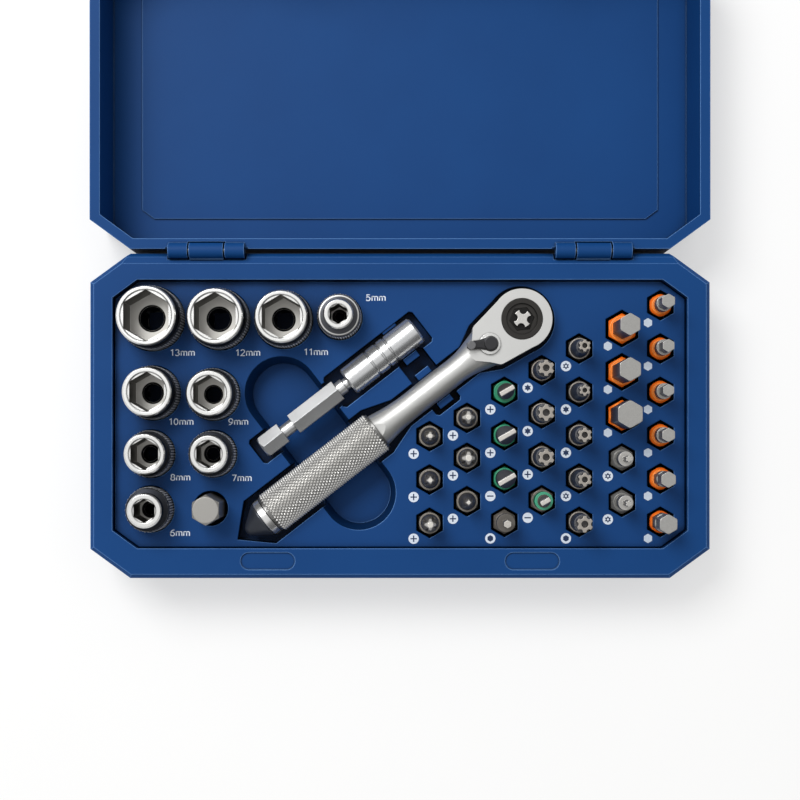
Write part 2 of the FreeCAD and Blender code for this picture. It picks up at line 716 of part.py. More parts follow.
# name, kind, column, step up the column, tip width, turn of the tip
bitRows = [
    ("cross_bit_1", "cross", "A", 2, 2.6, 0),
    ("cross_bit_2", "cross", "A", 1, 2.6, 0),
    ("cross_bit_3", "cross", "A", 0, 3.6, 15),
    ("cross_bit_4", "cross", "B", 2, 3.2, 0),
    ("cross_bit_5", "cross", "B", 1, 3.8, 0),
    ("cross_bit_6", "cross", "B", 0, 2.0, 0),
    ("slotted_bit_1", "slotted", "C", 3, 4.6, 30),
    ("slotted_bit_2", "slotted", "C", 2, 5.5, 30),
    ("slotted_bit_3", "slotted", "C", 1, 5.5, 30),
    ("slotted_bit_4", "slotted", "D", 0, 3.0, 30),
    ("six_lobe_bit_1", "lobe", "D", 3, 4.6, 0),
    ("six_lobe_bit_2", "lobe", "D", 2, 4.8, 0),
    ("six_lobe_bit_3", "lobe", "D", 1, 4.7, 0),
    ("six_lobe_bit_4", "lobe", "E", 4, 3.45, 0),
    ("six_lobe_bit_5", "lobe", "E", 3, 3.2, 0),
    ("six_lobe_bit_6", "lobe", "E", 2, 4.1, 0),
    ("six_lobe_bit_7", "lobe", "E", 1, 4.0, 0),
    ("six_lobe_bit_8", "lobe", "E", 0, 4.7, 0),
    ("six_lobe_bit_9", "fine", "F", 1, 1.9, 0),
    ("six_lobe_bit_10", "fine", "F", 0, 1.9, 0),
    ("hex_bit_1", "hex", "C", 0, 2.0, 0),
    ("hex_bit_2", "hex", "G", 5, 3.6, 0),
    ("hex_bit_3", "hex", "G", 4, 3.3, 0),
    ("hex_bit_4", "hex", "G", 3, 3.1, 0),
    ("hex_bit_5", "hex", "G", 2, 3.6, 0),
    ("hex_bit_6", "hex", "G", 1, 4.1, 0),
    ("hex_bit_7", "hex", "G", 0, 5.0, 0),
    ("large_hex_bit_1", "large", "F", 4, 5.6, 0),
    ("large_hex_bit_2", "large", "F", 3, 6.0, 0),
    ("large_hex_bit_3", "large", "F", 2, 7.0, 0),
]
for name, kind, column, step, width, twist in bitRows:
    x, y = spot(column, step)
    if name == "cross_bit_4":
        y = y + " - 1"
    flats, fit, tip, depth = "bitFlats", "bitFit", "bitLength", "bitTall"
    if kind in ("cross", "slotted"):
        depth = "bitShort"
    if kind == "large":
        flats, fit, tip, depth = "largeFlats", "largeFit", "largeLength", "largeDepth"
    foot = f"{depth} + bitShoulder - 0.5"
    shank = bitShank(name, flats, depth, f"{flats} / 2 - {bitEdges[kind]}")
    if kind == "cross":
        point = crossTip(name, width, foot, tip)
    elif kind == "slotted":
        point = slottedTip(name, width, foot, tip)
    elif kind == "lobe":
        point = lobeTip(name, width, foot, tip)
    elif kind == "fine":
        point = fineTip(name, width, foot, tip)
    elif kind == "large":
        point = largeTip(name, width, foot, tip)
    else:
        collar = "fineNeck + 0.5" if width < 3 else f"max({width} / sqrt(3) - 0.1; fineNeck + 0.15)"
        point = hexTip(name, width, foot, tip, collar)
    if twist:
        point.Placement = FreeCAD.Placement(vector(0, 0, 0), FreeCAD.Rotation(vector(0, 0, 1), twist))
    keep(put(join(name + "Whole", [shank, point]), (x, y, f"panelTop - {depth}")), name)
    pocket(name, hexagon, (x, y), f"{flats} + 2 * {fit}", f"panelTop - {depth}")

# Ratchet, along -X from the head's centre: forging with chambers for the works
plate = outline("headPlate", mirror([("0", "headRadius"), ("-headShoulder", "headWaist"),
                                     ("-headShoulder - 0.7", "headWaist - 0.35"),
                                     ("-headShoulder - 2.7", "headWaist - 2.7"),
                                     ("-headShoulder - 5.9", "headWaist - 5.6")]), ("0", "0", "-headHalf"))
headSlab = join("headSlab", [rise("headPrism", plate, "headThick"),
                             rod("headRound", ("0", "0", "-headHalf"), "headRadius", "headThick")])
rings = []
stations = [
    ("headShoulder - 1.5", "headWaist + 0.4"),
    ("headShoulder + 0.6", "headWaist - 0.6"),
    ("headShoulder + 3.3", "(headWaist + neckRadius) / 2 + 0.1"),
    ("headShoulder + 7", "neckRadius + 0.6"),
    ("headShoulder + 11.5", "neckRadius"),
    ("neckRun - 14", "neckRadius - 0.05"),
    ("neckRun - 8", "neckRadius + 0.1"),
    ("neckRun - 3.5", "neckRadius + 0.65"),
    ("neckRun", "neckEnd"),
]
for i, (along, radius) in enumerate(stations):
    ring = doc.addObject("Part::Circle", "neckRing" + str(i))
    ring.setExpression("Radius", formula(radius))
    rings.append(put(ring, (f"-({along})", "0", "0"), alongX))
neck = doc.addObject("Part::Loft", "neck")
neck.Sections = rings
neck.Solid = True
slab = box("neckSlab", ("-neckRun - 1", "-headRadius", "-headHalf"), "neckRun", "2 * headRadius",
           "headThick")
flare = common("flare", neck, slab)
core = rod("core", ("-collarEnd", "0", "0"), "coreRadius", "gripRun + collarLength + 1", alongX)
handle = join("handle", [flare, core])
chamber = "gearTip + 0.2"
pawlRoomPoints = mirror([("-leverDistance + 6.5", "3.9"), ("-leverDistance + 1", "4.2"),
                         ("-leverDistance - 2.4", "2.8")])
pawlRoom = outline("pawlRoom", pawlRoomPoints, ("0", "0", "-pawlHeight / 2 - fitGap"))
headTools = [
    rod("gearRoom", ("0", "0", "-headHalf - 1"), chamber, "headThick + 1 - topSkin"),
    rod("bossRoom", ("0", "0", "0"), "bossRadius + 0.1", "headThick"),
    rise("pawlRoomCut", pawlRoom, "pawlHeight + 2 * fitGap"),
    rod("leverRoom", ("-leverDistance", "0", "0"), "leverShaft + runningFit", "headThick"),
]
forging = cut("forging", join("forgingBlank", [headSlab, handle]), join("headTools", headTools))
keep(lay(forging, "0", "0", "ratchetAxis"), "ratchet_body")

# Grip, collar and cap slide on to the core
bore = "coreRadius + 0.03"


def laidTube(name, start, length, radius, edge, label):
    profile = [
        (bore, "0"),
        (f"{radius} - {edge}", "0"),
        (radius, edge),
        (radius, f"{length} - {edge}"),
        (f"{radius} - {edge}", length),
        (bore, length),
    ]
    piece = put(spin(name + "Turned", profile), (f"-({start}) - ({length})", "0", "0"), alongX)
    room = box(name + "Room", ("-capEnd - 9", "-9", "-9"), "capEnd + 18", "18", "18")
    keep(lay(common(name, room, piece), "0", "0", "ratchetAxis"), label)


laidTube("grip", "neckRun", "gripRun", "gripRadius", "0.5", "knurled_grip")
laidTube("collar", "gripEnd", "collarLength", "collarRadius", "0.3", "end_collar")
capProfile = [
    ("0", "0"),
    ("1.2", "0.3"),
    ("2.0", "1.0"),
    ("collarRadius - 0.5", "capLength - 0.9"),
    ("collarRadius - 0.2", "capLength - 0.4"),
    ("collarRadius - 0.2", "capLength"),
    ("0", "capLength"),
]
capTurned = put(spin("capTurned", capProfile), ("-capEnd", "0", "0"), alongX)
capRoom = box("capRoom", ("-capEnd - 9", "-9", "-9"), "capLength + 9", "18", "18")
keep(lay(common("cap", capRoom, capTurned), "0", "0", "ratchetAxis"), "end_cap")

# Drive gear: a body with one notch patterned around the rim
gear = doc.addObject("PartDesign::Body", "gear")


def feature(kind, name, links, at=("0", "0", "0"), turn=upright):
    piece = gear.newObject(kind, name)
    for item, text in links.items():
        piece.setExpression(item, formula(text))
    return put(piece, at, turn)


feature("PartDesign::AdditiveCylinder", "gearDisc", {"Radius": "gearTip", "Height": "gearHeight"},
        ("0", "0", "gearFoot"))
doc.recompute()
notch = feature("PartDesign::SubtractivePrism", "gearNotch",
                {"Circumradius": "gearDepth * 2", "Height": "gearHeight + 2"},
                ("gearTip + gearDepth", "0", "gearFoot - 1"), FreeCAD.Rotation(vector(0, 0, 1), 180))
notch.Polygon = 3
doc.recompute()
teeth = gear.newObject("PartDesign::PolarPattern", "gearTeethRing")
teeth.Originals = [notch]
spinAxis = [item for item in gear.Origin.OriginFeatures if item.Role == "Z_Axis"][0]
teeth.Axis = (spinAxis, [""])
teeth.Angle = 360
teeth.setExpression("Occurrences", formula("gearTeeth"))
gear.Tip = teeth
doc.recompute()
feature("PartDesign::AdditiveCylinder", "gearBoss",
        {"Radius": "bossRadius", "Height": "headHalf + 0.1 - gearTop + 0.5"}, ("0", "0", "gearTop - 0.5"))
doc.recompute()
feature("PartDesign::AdditiveCylinder", "gearFootBoss",
        {"Radius": "lowerBoss", "Height": "gearFoot + headHalf"}, ("0", "0", "-headHalf"))
doc.recompute()
feature("PartDesign::SubtractiveCylinder", "gearDish", {"Radius": "4.6", "Height": "2"},
        ("0", "0", "headHalf - 0.7"))
doc.recompute()
gearHex = feature("PartDesign::SubtractivePrism", "gearHex",
                  {"Circumradius": "(bitFlats + 0.1) / sqrt(3)", "Height": "headThick + 4"},
                  ("0", "0", "-headHalf - 2"), pointed)
gearHex.Polygon = 6
doc.recompute()
keep(lay(gear, "0", "0", "ratchetAxis"), "drive_gear")

ringHeight = "gearFoot + headHalf - fitGap"
ringBlank = rod("ringBlank", ("0", "0", "-headHalf"), "gearTip + 0.15", ringHeight)
ringBore = rod("ringBore", ("0", "0", "-headHalf - 1"), "lowerBoss + 0.1", f"{ringHeight} + 2")
keep(lay(cut("retainer", ringBlank, ringBore), "0", "0", "ratchetAxis"), "retaining_ring")

# Reversing lever, its shaft runs down through the pawl
leverFoot = "headHalf + 0.1"
leverBase = rod("leverBase", ("0", "0", leverFoot), "leverRadius", "leverThick * 0.5")
leverShaft = rod("leverStem", ("0", "0", "-pawlHeight / 2"), "leverShaft", "headHalf + pawlHeight / 2 + 0.2")
leverHub = cone("leverHub", ("0.2", "0", f"{leverFoot} + leverThick * 0.4"), "leverRadius - 0.7",
                "leverRadius - 1.3", "leverThick * 0.85")
armPoints = mirror([("0.4", "leverRadius - 0.9"), ("-leverArm * 0.45", "1.35"), ("-leverArm + 0.7", "1.2"),
                    ("-leverArm", "0.7")])
leverArm = rise("leverArmPlate", outline("leverArmShape", armPoints, ("0", "0", f"{leverFoot} + 0.1")),
                "leverThick * 0.7")
crestPoints = mirror([("0.4", "leverRadius - 1.4"), ("-leverArm * 0.45", "0.9"), ("-leverArm + 0.9", "0.75"),
                      ("-leverArm + 0.4", "0.4")])
leverCrest = rise("leverCrest", outline("leverCrestShape", crestPoints, ("0", "0", leverFoot)), "leverThick")
leverPad = rod("leverPad", ("-leverArm + 1.3", "0", f"{leverFoot} + 0.1"), "1.25", "leverThick + 0.5")
lever = join("lever", [leverBase, leverShaft, leverHub, leverArm, leverCrest, leverPad])
lever.Placement = FreeCAD.Placement(vector(0, 0, 0), FreeCAD.Rotation(vector(0, 0, -1), 1))
lever.setExpression("Placement.Rotation.Angle", formula("leverAngle"))
lever.setExpression("Placement.Base.x", formula("-leverDistance"))
leverRoomBox = box("leverRoomBox", ("-leverDistance - 12", "-12", "-12"), "24", "24", "30")
keep(lay(common("leverPiece", leverRoomBox, lever), "0", "0", "ratchetAxis"), "reversing_lever")

# Rocker pawl with two noses, and its leaf spring at the back of the room
pawlPoints = mirror([("-1.6", "1.6"), ("0.8", "2.9"), ("4.5", "3.15"), ("5.35", "2.75"), ("5.44", "2.5"),
                     ("4.3", "1.2"), ("4.1", "0.4")])
pawlPlate = rise("pawlPlate", outline("pawlShape", pawlPoints, ("0", "0", "-pawlHeight / 2")), "pawlHeight")
pawlBore = rod("pawlBore", ("0", "0", "-pawlHeight"), "leverShaft + runningFit", "2 * pawlHeight")
pawl = cut("pawlBlank", pawlPlate, pawlBore)
pawl.Placement = FreeCAD.Placement(vector(0, 0, 0), FreeCAD.Rotation(vector(0, 0, -1), 1))
pawl.setExpression("Placement.Rotation.Angle", formula("pawlSwing"))
pawl.setExpression("Placement.Base.x", formula("-leverDistance"))
pawlBox = box("pawlBox", ("-leverDistance - 12", "-12", "-12"), "24", "24", "24")
keep(lay(common("pawlPiece", pawlBox, pawl), "0", "0", "ratchetAxis"), "pawl")
leaf = box("leaf", ("-leverDistance - 2.35", "-2.4", "-pawlHeight / 2"), "0.3", "4.8", "pawlHeight")
leafBox = box("leafBox", ("-leverDistance - 12", "-12", "-12"), "24", "24", "24")
keep(lay(common("leafPiece", leafBox, leaf), "0", "0", "ratchetAxis"), "pawl_spring")

# Short bit standing in the gear's hexagon
driveFoot = "headHalf + 0.6 - driveBitLength"
driveBar = hexagon("driveBar", ("0", "0", driveFoot), "bitFlats", "driveBitLength - 1.4")
drivePoint = rod("drivePoint", ("0", "0", "headHalf - 1"), "2.6", "1.6")
driveCuts = []
for quarter in range(4):
    swing = 45 + 90 * quarter
    at = (f"2.5 * cos({swing})", f"2.5 * sin({swing})", "headHalf - 0.8")
    driveCuts.append(rod("driveFlute" + str(quarter), at, "1.15", "3"))
driveStar = cut("driveStar", drivePoint, join("driveFlutes", driveCuts))
keep(lay(join("driveBit", [driveBar, driveStar]), "0", "0", "ratchetAxis"), "drive_bit")

# Bit holder, from its mouth back along -X
shankEnd = "sleeveLength + shankNeck + shankHex + shankGroove + shankTip"
hexLong = hexagon("holderHex", ("0", "0", "sleeveLength + shankNeck"), "bitFlats", "shankHex", upright)
hexEnd = hexagon("holderEnd", ("0", "0", "sleeveLength + shankNeck + shankHex + shankGroove"), "bitFlats",
                 "shankTip", upright)
hexTaper = cone("holderTaper", ("0", "0", "0"), f"bitFlats / 2 - 0.3 + {shankEnd}", "bitFlats / 2 - 0.3",
                shankEnd)
hexBars = common("holderBars", join("holderBarPair", [hexLong, hexEnd]), hexTaper)
stemProfile = [
    ("0", "mouthDepth + magnetThick + 1"),
    ("magnetRadius", "mouthDepth + magnetThick + 1"),
    ("magnetRadius", "sleeveLength - 0.5"),
    ("1.8", "sleeveLength - 0.5"),
    ("1.8", "sleeveLength + 1.3"),
    ("2.25", "sleeveLength + 1.5"),
    ("2.25", "sleeveLength + shankNeck + 0.2"),
    ("2.0", "sleeveLength + shankNeck + 0.4"),
    ("2.0", f"{shankEnd} - shankTip + 1"),
    ("0", f"{shankEnd} - shankTip + 1"),
]
shankBlank = join("shankBlank", [hexBars, spin("holderStem", stemProfile)])
shankBlank.Placement = FreeCAD.Placement(vector(0, 0, 0), FreeCAD.Rotation(vector(0, 1, 0), -90))
shankBox = box("shankBox", (f"-({shankEnd}) - 5", "-9", "-9"), f"{shankEnd} + 9", "18", "18")
holderShank = common("holderShank", shankBox, shankBlank)
keep(lay(holderShank, "-mouthSpot", "holderSide", "holderAxis"), "holder_shank")
sleeveProfile = [("0", "0"), ("sleeveRadius - 0.6", "0"), ("sleeveRadius", "0.6")]
for ringAt in ("15.8", "13.0", "9.1"):
    spotAt = f"sleeveLength - {ringAt}"
    sleeveProfile.append(("sleeveRadius", f"{spotAt} - 0.4"))
    sleeveProfile.append(("sleeveRadius - ringDepth", f"{spotAt} - 0.25"))
    sleeveProfile.append(("sleeveRadius - ringDepth", f"{spotAt} + 0.25"))
    sleeveProfile.append(("sleeveRadius", f"{spotAt} + 0.4"))
sleeveProfile.extend([("sleeveRadius", "sleeveLength - 0.5"), ("sleeveRadius - 0.5", "sleeveLength"),
                      ("0", "sleeveLength")])
sleeveTools = [
    hexagon("sleeveMouth", ("0", "0", "-1"), "bitFlats + 0.1", "mouthDepth + 1", upright),
    rod("sleeveBore", ("0", "0", "1"), "magnetRadius + 0.02", "sleeveLength - 1.5"),
    rod("sleeveEnd", ("0", "0", "1"), "1.83", "sleeveLength"),
]
sleeveBlank = cut("sleeveBlank", spin("sleeveTurned", sleeveProfile), join("sleeveTools", sleeveTools))
sleeveBlank.Placement = FreeCAD.Placement(vector(0, 0, 0), FreeCAD.Rotation(vector(0, 1, 0), -90))
sleeveBox = box("sleeveBox", ("-sleeveLength - 5", "-9", "-9"), "sleeveLength + 9", "18", "18")
holderSleeve = common("holderSleeve", sleeveBox, sleeveBlank)
keep(lay(holderSleeve, "-mouthSpot", "holderSide", "holderAxis"), "holder_sleeve")
magnet = rod("magnet", ("-mouthDepth - magnetThick - 1", "0", "0"), "magnetRadius", "magnetThick", alongX)
magnetBox = box("magnetBox", ("-30", "-9", "-9"), "60", "18", "18")
holderMagnet = common("holderMagnet", magnetBox, magnet)
keep(lay(holderMagnet, "-mouthSpot", "holderSide", "holderAxis"), "holder_magnet")

# Tool insert: panel, skirt and cups, with cavities that follow the laid tools
grip = "gripRadius + cavityGap + 0.2"
slim = "neckRadius + cavityGap - 0.3"
gripShape = [("-capEnd - 3.5", "0"), ("-collarEnd - 1.6", grip), ("-neckRun - 0.3", grip),
             ("-neckRun + 8.6", slim), ("-headShoulder - 6", slim)]
headShape = [("-headShoulder - 6.7", slim), ("-headShoulder - 0.5", "headWaist + cavityGap"),
             ("0", "headRadius + cavityGap")]


def laidPrism(name, points, floor, wall):
    sketch = outline(name + "Shape", points)
    return lay(rise(name, sketch, wall), "0", "0", floor)


def grown(points, more):
    wide = []
    for along, aside in points:
        if aside == "0":
            wide.append((f"{along} - {more}", "0"))
        else:
            wide.append((along, f"{aside} + {more}"))
    first, last = wide[0], wide[-1]
    if first[1] != "0":
        wide[0] = (f"{first[0]} - {more}", first[1])
    wide[-1] = (f"{last[0]} + {more}", last[1])
    return wide


def laidPocket(name, points, floor):
    pockets.append(laidPrism(name + "Cavity", mirror(points), floor, f"panelTop - ({floor}) + 1"))
    cups.append(laidPrism(name + "Walls", mirror(grown(points, "cupWall")), "wall", "panelTop - wall"))


def laidRod(name, radius, floor):
    cavity = rod(name + "Cavity", ("0", "0", "0"), radius, f"panelTop - ({floor}) + 1")
    pockets.append(lay(cavity, "0", "0", floor))
    walls = rod(name + "Walls", ("0", "0", "0"), f"{radius} + cupWall", "panelTop - wall")
    cups.append(lay(walls, "0", "0", "wall"))


def laidBox(name, begin, end, low, high, floor):
    points = [
        (begin, f"{low} + cornerSoft"), (f"{begin} + cornerSoft", low),
        (f"{end} - cornerSoft", low), (end, f"{low} + cornerSoft"),
        (end, f"{high} - cornerSoft"), (f"{end} - cornerSoft", high),
        (f"{begin} + cornerSoft", high), (begin, f"{high} - cornerSoft"),
    ]
    pockets.append(laidPrism(name + "Cavity", points, floor, f"panelTop - ({floor}) + 1"))
    wallBox = box(name + "Walls", ("0", "0", "0"), f"{end} - ({begin}) + 2 * cupWall",
                  f"{high} - ({low}) + 2 * cupWall", "panelTop - wall")
    cups.append(lay(wallBox, f"{begin} - cupWall", f"{low} - cupWall", "wall"))


laidPocket("gripBed", gripShape, "gripFloor")
laidPocket("headBed", headShape, "headFloor")
laidRod("headCircle", "headRadius + cavityGap", "headFloor")
laidRod("bitWell", "bitFlats / sqrt(3) + 1.2", "wellFloor")
laidBox("shankBed", "-mouthSpot - sleeveLength - shankNeck - shankHex - shankGroove - shankTip - 2.5",
        "-mouthSpot - sleeveLength - 5", "holderSide - bitFlats / 2 - cavityGap",
        "holderSide + bitFlats / 2 + cavityGap", "holderFloor")
laidBox("sleeveBed", "-mouthSpot - sleeveLength - 5.6", "-mouthSpot + 2.2",
        "holderSide - sleeveRadius - cavityGap", "holderSide + sleeveRadius + cavityGap", "holderFloor")
laidBox("channel", "-clipSpot - channelWidth / 2", "-clipSpot + channelWidth / 2",
        "-neckRadius - 3.6", "holderSide - sleeveRadius", "panelTop - channelDepth")

troughBase = "panelTop - troughDepth"
for name, aside in (("troughUpperEnd", "troughUpper"), ("troughLowerEnd", "-troughLower")):
    end = cone(name, ("0", "0", "0"), "troughFloor", "troughRadius", "troughDepth")
    pockets.append(lay(end, "-troughSpot", aside, troughBase))
    cups.append(lay(rod(name + "Walls", ("0", "0", "0"), "troughRadius + cupWall", "panelTop - wall"),
                    "-troughSpot", aside, "wall"))
troughSection = [("-troughFloor", "0"), ("troughFloor", "0"), ("troughRadius", "troughDepth"),
                 ("-troughRadius", "troughDepth")]
troughRun = rise("troughRun", outline("troughSection", troughSection, turn=standing),
                 "troughUpper + troughLower")
pockets.append(lay(troughRun, "-troughSpot", "troughUpper", troughBase))
troughWall = box("troughWall", ("0", "0", "0"), "2 * troughRadius + 2 * cupWall", "troughUpper + troughLower",
                 "panelTop - wall")
cups.append(lay(troughWall, "-troughSpot - troughRadius - cupWall", "-troughLower", "wall"))

# Sprung posts that nip the sleeve and the neck where the channel crosses them
posts = []
grips = [
    ("postSleeve", "holderSide - sleeveRadius - fitGap - clipThick"),
    ("postNeck", "neckRadius + fitGap"),
    ("postFar", "-neckRadius - fitGap - clipThick"),
    ("postEdge", "holderSide + sleeveRadius + fitGap"),
]
for name, aside in grips:
    post = box(name, ("0", "0", "0"), "clipWidth", "clipThick", "panelTop - 0.4 - wall")
    posts.append(lay(post, "-clipSpot - clipWidth / 2", aside, "wall"))

insertBlock = rise("insertBlock", holeOutline("insertOutline", "insertFit", "wall"), "panelTop - wall")
underside = rise("underside", holeOutline("undersideOutline", "insertFit + cupWall", "wall - 1"),
                 "panelTop - panelThick - wall + 1")
underHollow = cut("underHollow", underside, join("cupWalls", cups))
openings = cut("openings", join("pocketShapes", pockets), join("postShapes", posts))
solidInsert = cut("solidInsert", insertBlock, underHollow)
keep(cut("toolInsert", solidInsert, openings), "tool_insert")

doc.recompute()
os.makedirs("parts", exist_ok=True)
faults = []
for piece in doc.Objects:
    if "Invalid" in piece.State or "Error" in piece.State:
        faults.append(piece.Name + " state")
for piece in subparts:
    if piece.Shape.isNull() or not piece.Shape.isValid() or not piece.Shape.Solids:
        faults.append(piece.Label + " shape")
if faults:
    raise RuntimeError("not built: " + ", ".join(faults))
for piece in subparts:
    piece.Shape.exportStep("parts/" + piece.Label + ".step")
    print(piece.Label, round(piece.Shape.Volume, 1), len(piece.Shape.Solids))
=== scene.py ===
import math

import bpy
from mathutils import Matrix, Vector


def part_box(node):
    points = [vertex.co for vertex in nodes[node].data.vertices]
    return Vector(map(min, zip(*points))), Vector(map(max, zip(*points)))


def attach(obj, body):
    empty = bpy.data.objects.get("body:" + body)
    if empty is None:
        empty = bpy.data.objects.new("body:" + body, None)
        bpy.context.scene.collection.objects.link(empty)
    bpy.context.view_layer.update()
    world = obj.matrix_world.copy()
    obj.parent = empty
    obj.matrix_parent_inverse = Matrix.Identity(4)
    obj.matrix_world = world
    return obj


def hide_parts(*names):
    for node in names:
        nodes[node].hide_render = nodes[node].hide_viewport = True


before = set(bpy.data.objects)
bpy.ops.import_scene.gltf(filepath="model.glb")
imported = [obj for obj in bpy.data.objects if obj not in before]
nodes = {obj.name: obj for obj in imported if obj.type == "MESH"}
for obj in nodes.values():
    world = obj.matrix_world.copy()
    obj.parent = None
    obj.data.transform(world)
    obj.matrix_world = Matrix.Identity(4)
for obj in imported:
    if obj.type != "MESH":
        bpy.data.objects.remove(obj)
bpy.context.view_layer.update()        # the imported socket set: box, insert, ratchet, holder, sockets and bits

scene = bpy.context.scene
scene.view_settings.view_transform = "Standard"
mm = 0.001
panelTop = 19.5          # mm, the insert's upper face
edgeWay = (-0.72, 0.62, 0.30)                  # painted highlight: edges that turn this way are painted paler
print("frame loaded:", len(nodes), "solids")


def linear(hexColour):   # sRGB hex to the linear values that shaders take
    parts = [int(hexColour[i:i + 2], 16) / 255 for i in (1, 3, 5)]
    return [c / 12.92 if c <= 0.04045 else ((c + 0.055) / 1.055) ** 2.4 for c in parts] + [1.0]


def node(tree, kind, settings={}, links={}):   # one node, its settings and what feeds it
    made = tree.nodes.new("ShaderNode" + kind)
    for key, value in settings.items():
        if isinstance(key, str) and hasattr(made, key):
            setattr(made, key, value)
        else:
            made.inputs[key].default_value = value
    for key, source in links.items():
        tree.links.new(source, made.inputs[key])
    return made


def startMaterial(name, settings):             # a fresh material, its shader and its own coordinates
    material = bpy.data.materials.new(name)
    material.use_nodes = True
    tree = material.node_tree
    shader = tree.nodes["Principled BSDF"]
    for key, value in settings.items():
        shader.inputs[key].default_value = value
    return material, tree, shader, node(tree, "TexCoord").outputs["Object"]


# Injection-moulded polypropylene: even blue from a spark-eroded mould, so a fine matt grain, a slow random
# drift of tone, painted shade in crevices and a painted highlight, a paler line where edges turn towards the
# lamp.
def mouldedPolypropylene(name, colour, deep, pale, roughness, wall=None):
    # mm; the grain is drawn about twice its real size
    look = {"drift": 26, "grain": 0.34, "grainDepth": 0.03, "edge": 0.42 if wall else 0.32,
            "edgeShare": 0.9 if wall else 0.85, "crevice": 7, "crease": 0.9}
    material, tree, shader, place = startMaterial(name, {"IOR": 1.49, "Specular IOR Level": 0.13})
    drift = node(tree, "TexNoise", {"Scale": 1 / (look["drift"] * mm), "Detail": 3.0}, {"Vector": place})
    shade = node(tree, "Mix", {"data_type": "RGBA", 6: linear(colour), 7: linear(deep)},
                 {0: drift.outputs["Fac"]})
    rounded = node(tree, "Bevel", {"samples": 6, "Radius": look["edge"] * mm})
    flat = node(tree, "NewGeometry")
    turned = node(tree, "VectorMath", {"operation": "SUBTRACT"},
                  {0: rounded.outputs["Normal"], 1: flat.outputs["Normal"]})
    way = {"operation": "DOT_PRODUCT", 1: edgeWay} if wall else {"operation": "LENGTH"}   # shell: all round
    lit = node(tree, "VectorMath", way, {0: turned.outputs["Vector"]})
    edge = node(tree, "MapRange",
                {"From Min": 0.04, "From Max": 0.38, "To Min": 0.0, "To Max": look["edgeShare"]},
                {"Value": lit.outputs["Value"]})
    # painted highlight: edges turned by the bevel are mixed towards the pale colour
    blendedTone = node(tree, "Mix", {"data_type": "RGBA", 7: linear(pale)},
                {0: edge.outputs["Result"], 6: shade.outputs[2]})
    # painted shade: the colour darkens where nearby faces shelter the surface, deepest in crevices
    shelter = node(tree, "AmbientOcclusion", {"samples": 6, "Distance": look["crevice"] * mm})
    shut, clear, dark = (0.24, 0.62, 0.06) if wall else (0.2, 0.56, 0.2)
    crevice = node(tree, "MapRange", {"From Min": shut, "From Max": clear, "To Min": dark, "To Max": 1.0},
                   {"Value": shelter.outputs["AO"]})
    depth = crevice.outputs["Result"]
    if wall:                                   # pockets: painted shade on their walls and on the edges in the lee
        lee = node(tree, "MapRange", {"From Min": -0.04, "From Max": -0.5, "To Min": 1.0, "To Max": 0.55},
                   {"Value": lit.outputs["Value"]})
        upright = node(tree, "SeparateXYZ", {}, {"Vector": flat.outputs["Normal"]})
        steep = node(tree, "MapRange", {"From Min": 0.15, "From Max": 0.75, "To Min": wall, "To Max": 1.0},
                     {"Value": upright.outputs["Z"]})
        extra = node(tree, "Math", {"operation": "MULTIPLY"},
                     {0: lee.outputs["Result"], 1: steep.outputs["Result"]}).outputs["Value"]
    else:                                      # shell: painted shade, a fine dark line where two faces meet in a corner
        corner = node(tree, "AmbientOcclusion", {"samples": 6, "Distance": look["crease"] * mm})
        extra = node(tree, "MapRange", {"From Min": 0.52, "From Max": 0.86, "To Min": 0.3, "To Max": 1.0},
                     {"Value": corner.outputs["AO"]}).outputs["Result"]
    depth = node(tree, "Math", {"operation": "MULTIPLY"}, {0: depth, 1: extra}).outputs["Value"]
    dusk = node(tree, "VectorMath", {"operation": "SCALE"}, {0: blendedTone.outputs[2], "Scale": depth})
    grain = node(tree, "TexNoise", {"Scale": 1 / (look["grain"] * mm), "Detail": 2.0}, {"Vector": place})
    bump = node(tree, "Bump", {"Strength": 0.22, "Distance": look["grainDepth"] * mm},
                {"Height": grain.outputs["Fac"], "Normal": rounded.outputs["Normal"]})
    rough = node(tree, "MapRange", {"To Min": roughness - 0.05, "To Max": roughness + 0.07},
                 {"Value": grain.outputs["Fac"]})
    tree.links.new(dusk.outputs["Vector"], shader.inputs["Base Color"])
    tree.links.new(rough.outputs["Result"], shader.inputs["Roughness"])
    tree.links.new(bump.outputs["Normal"], shader.inputs["Normal"])
    return material
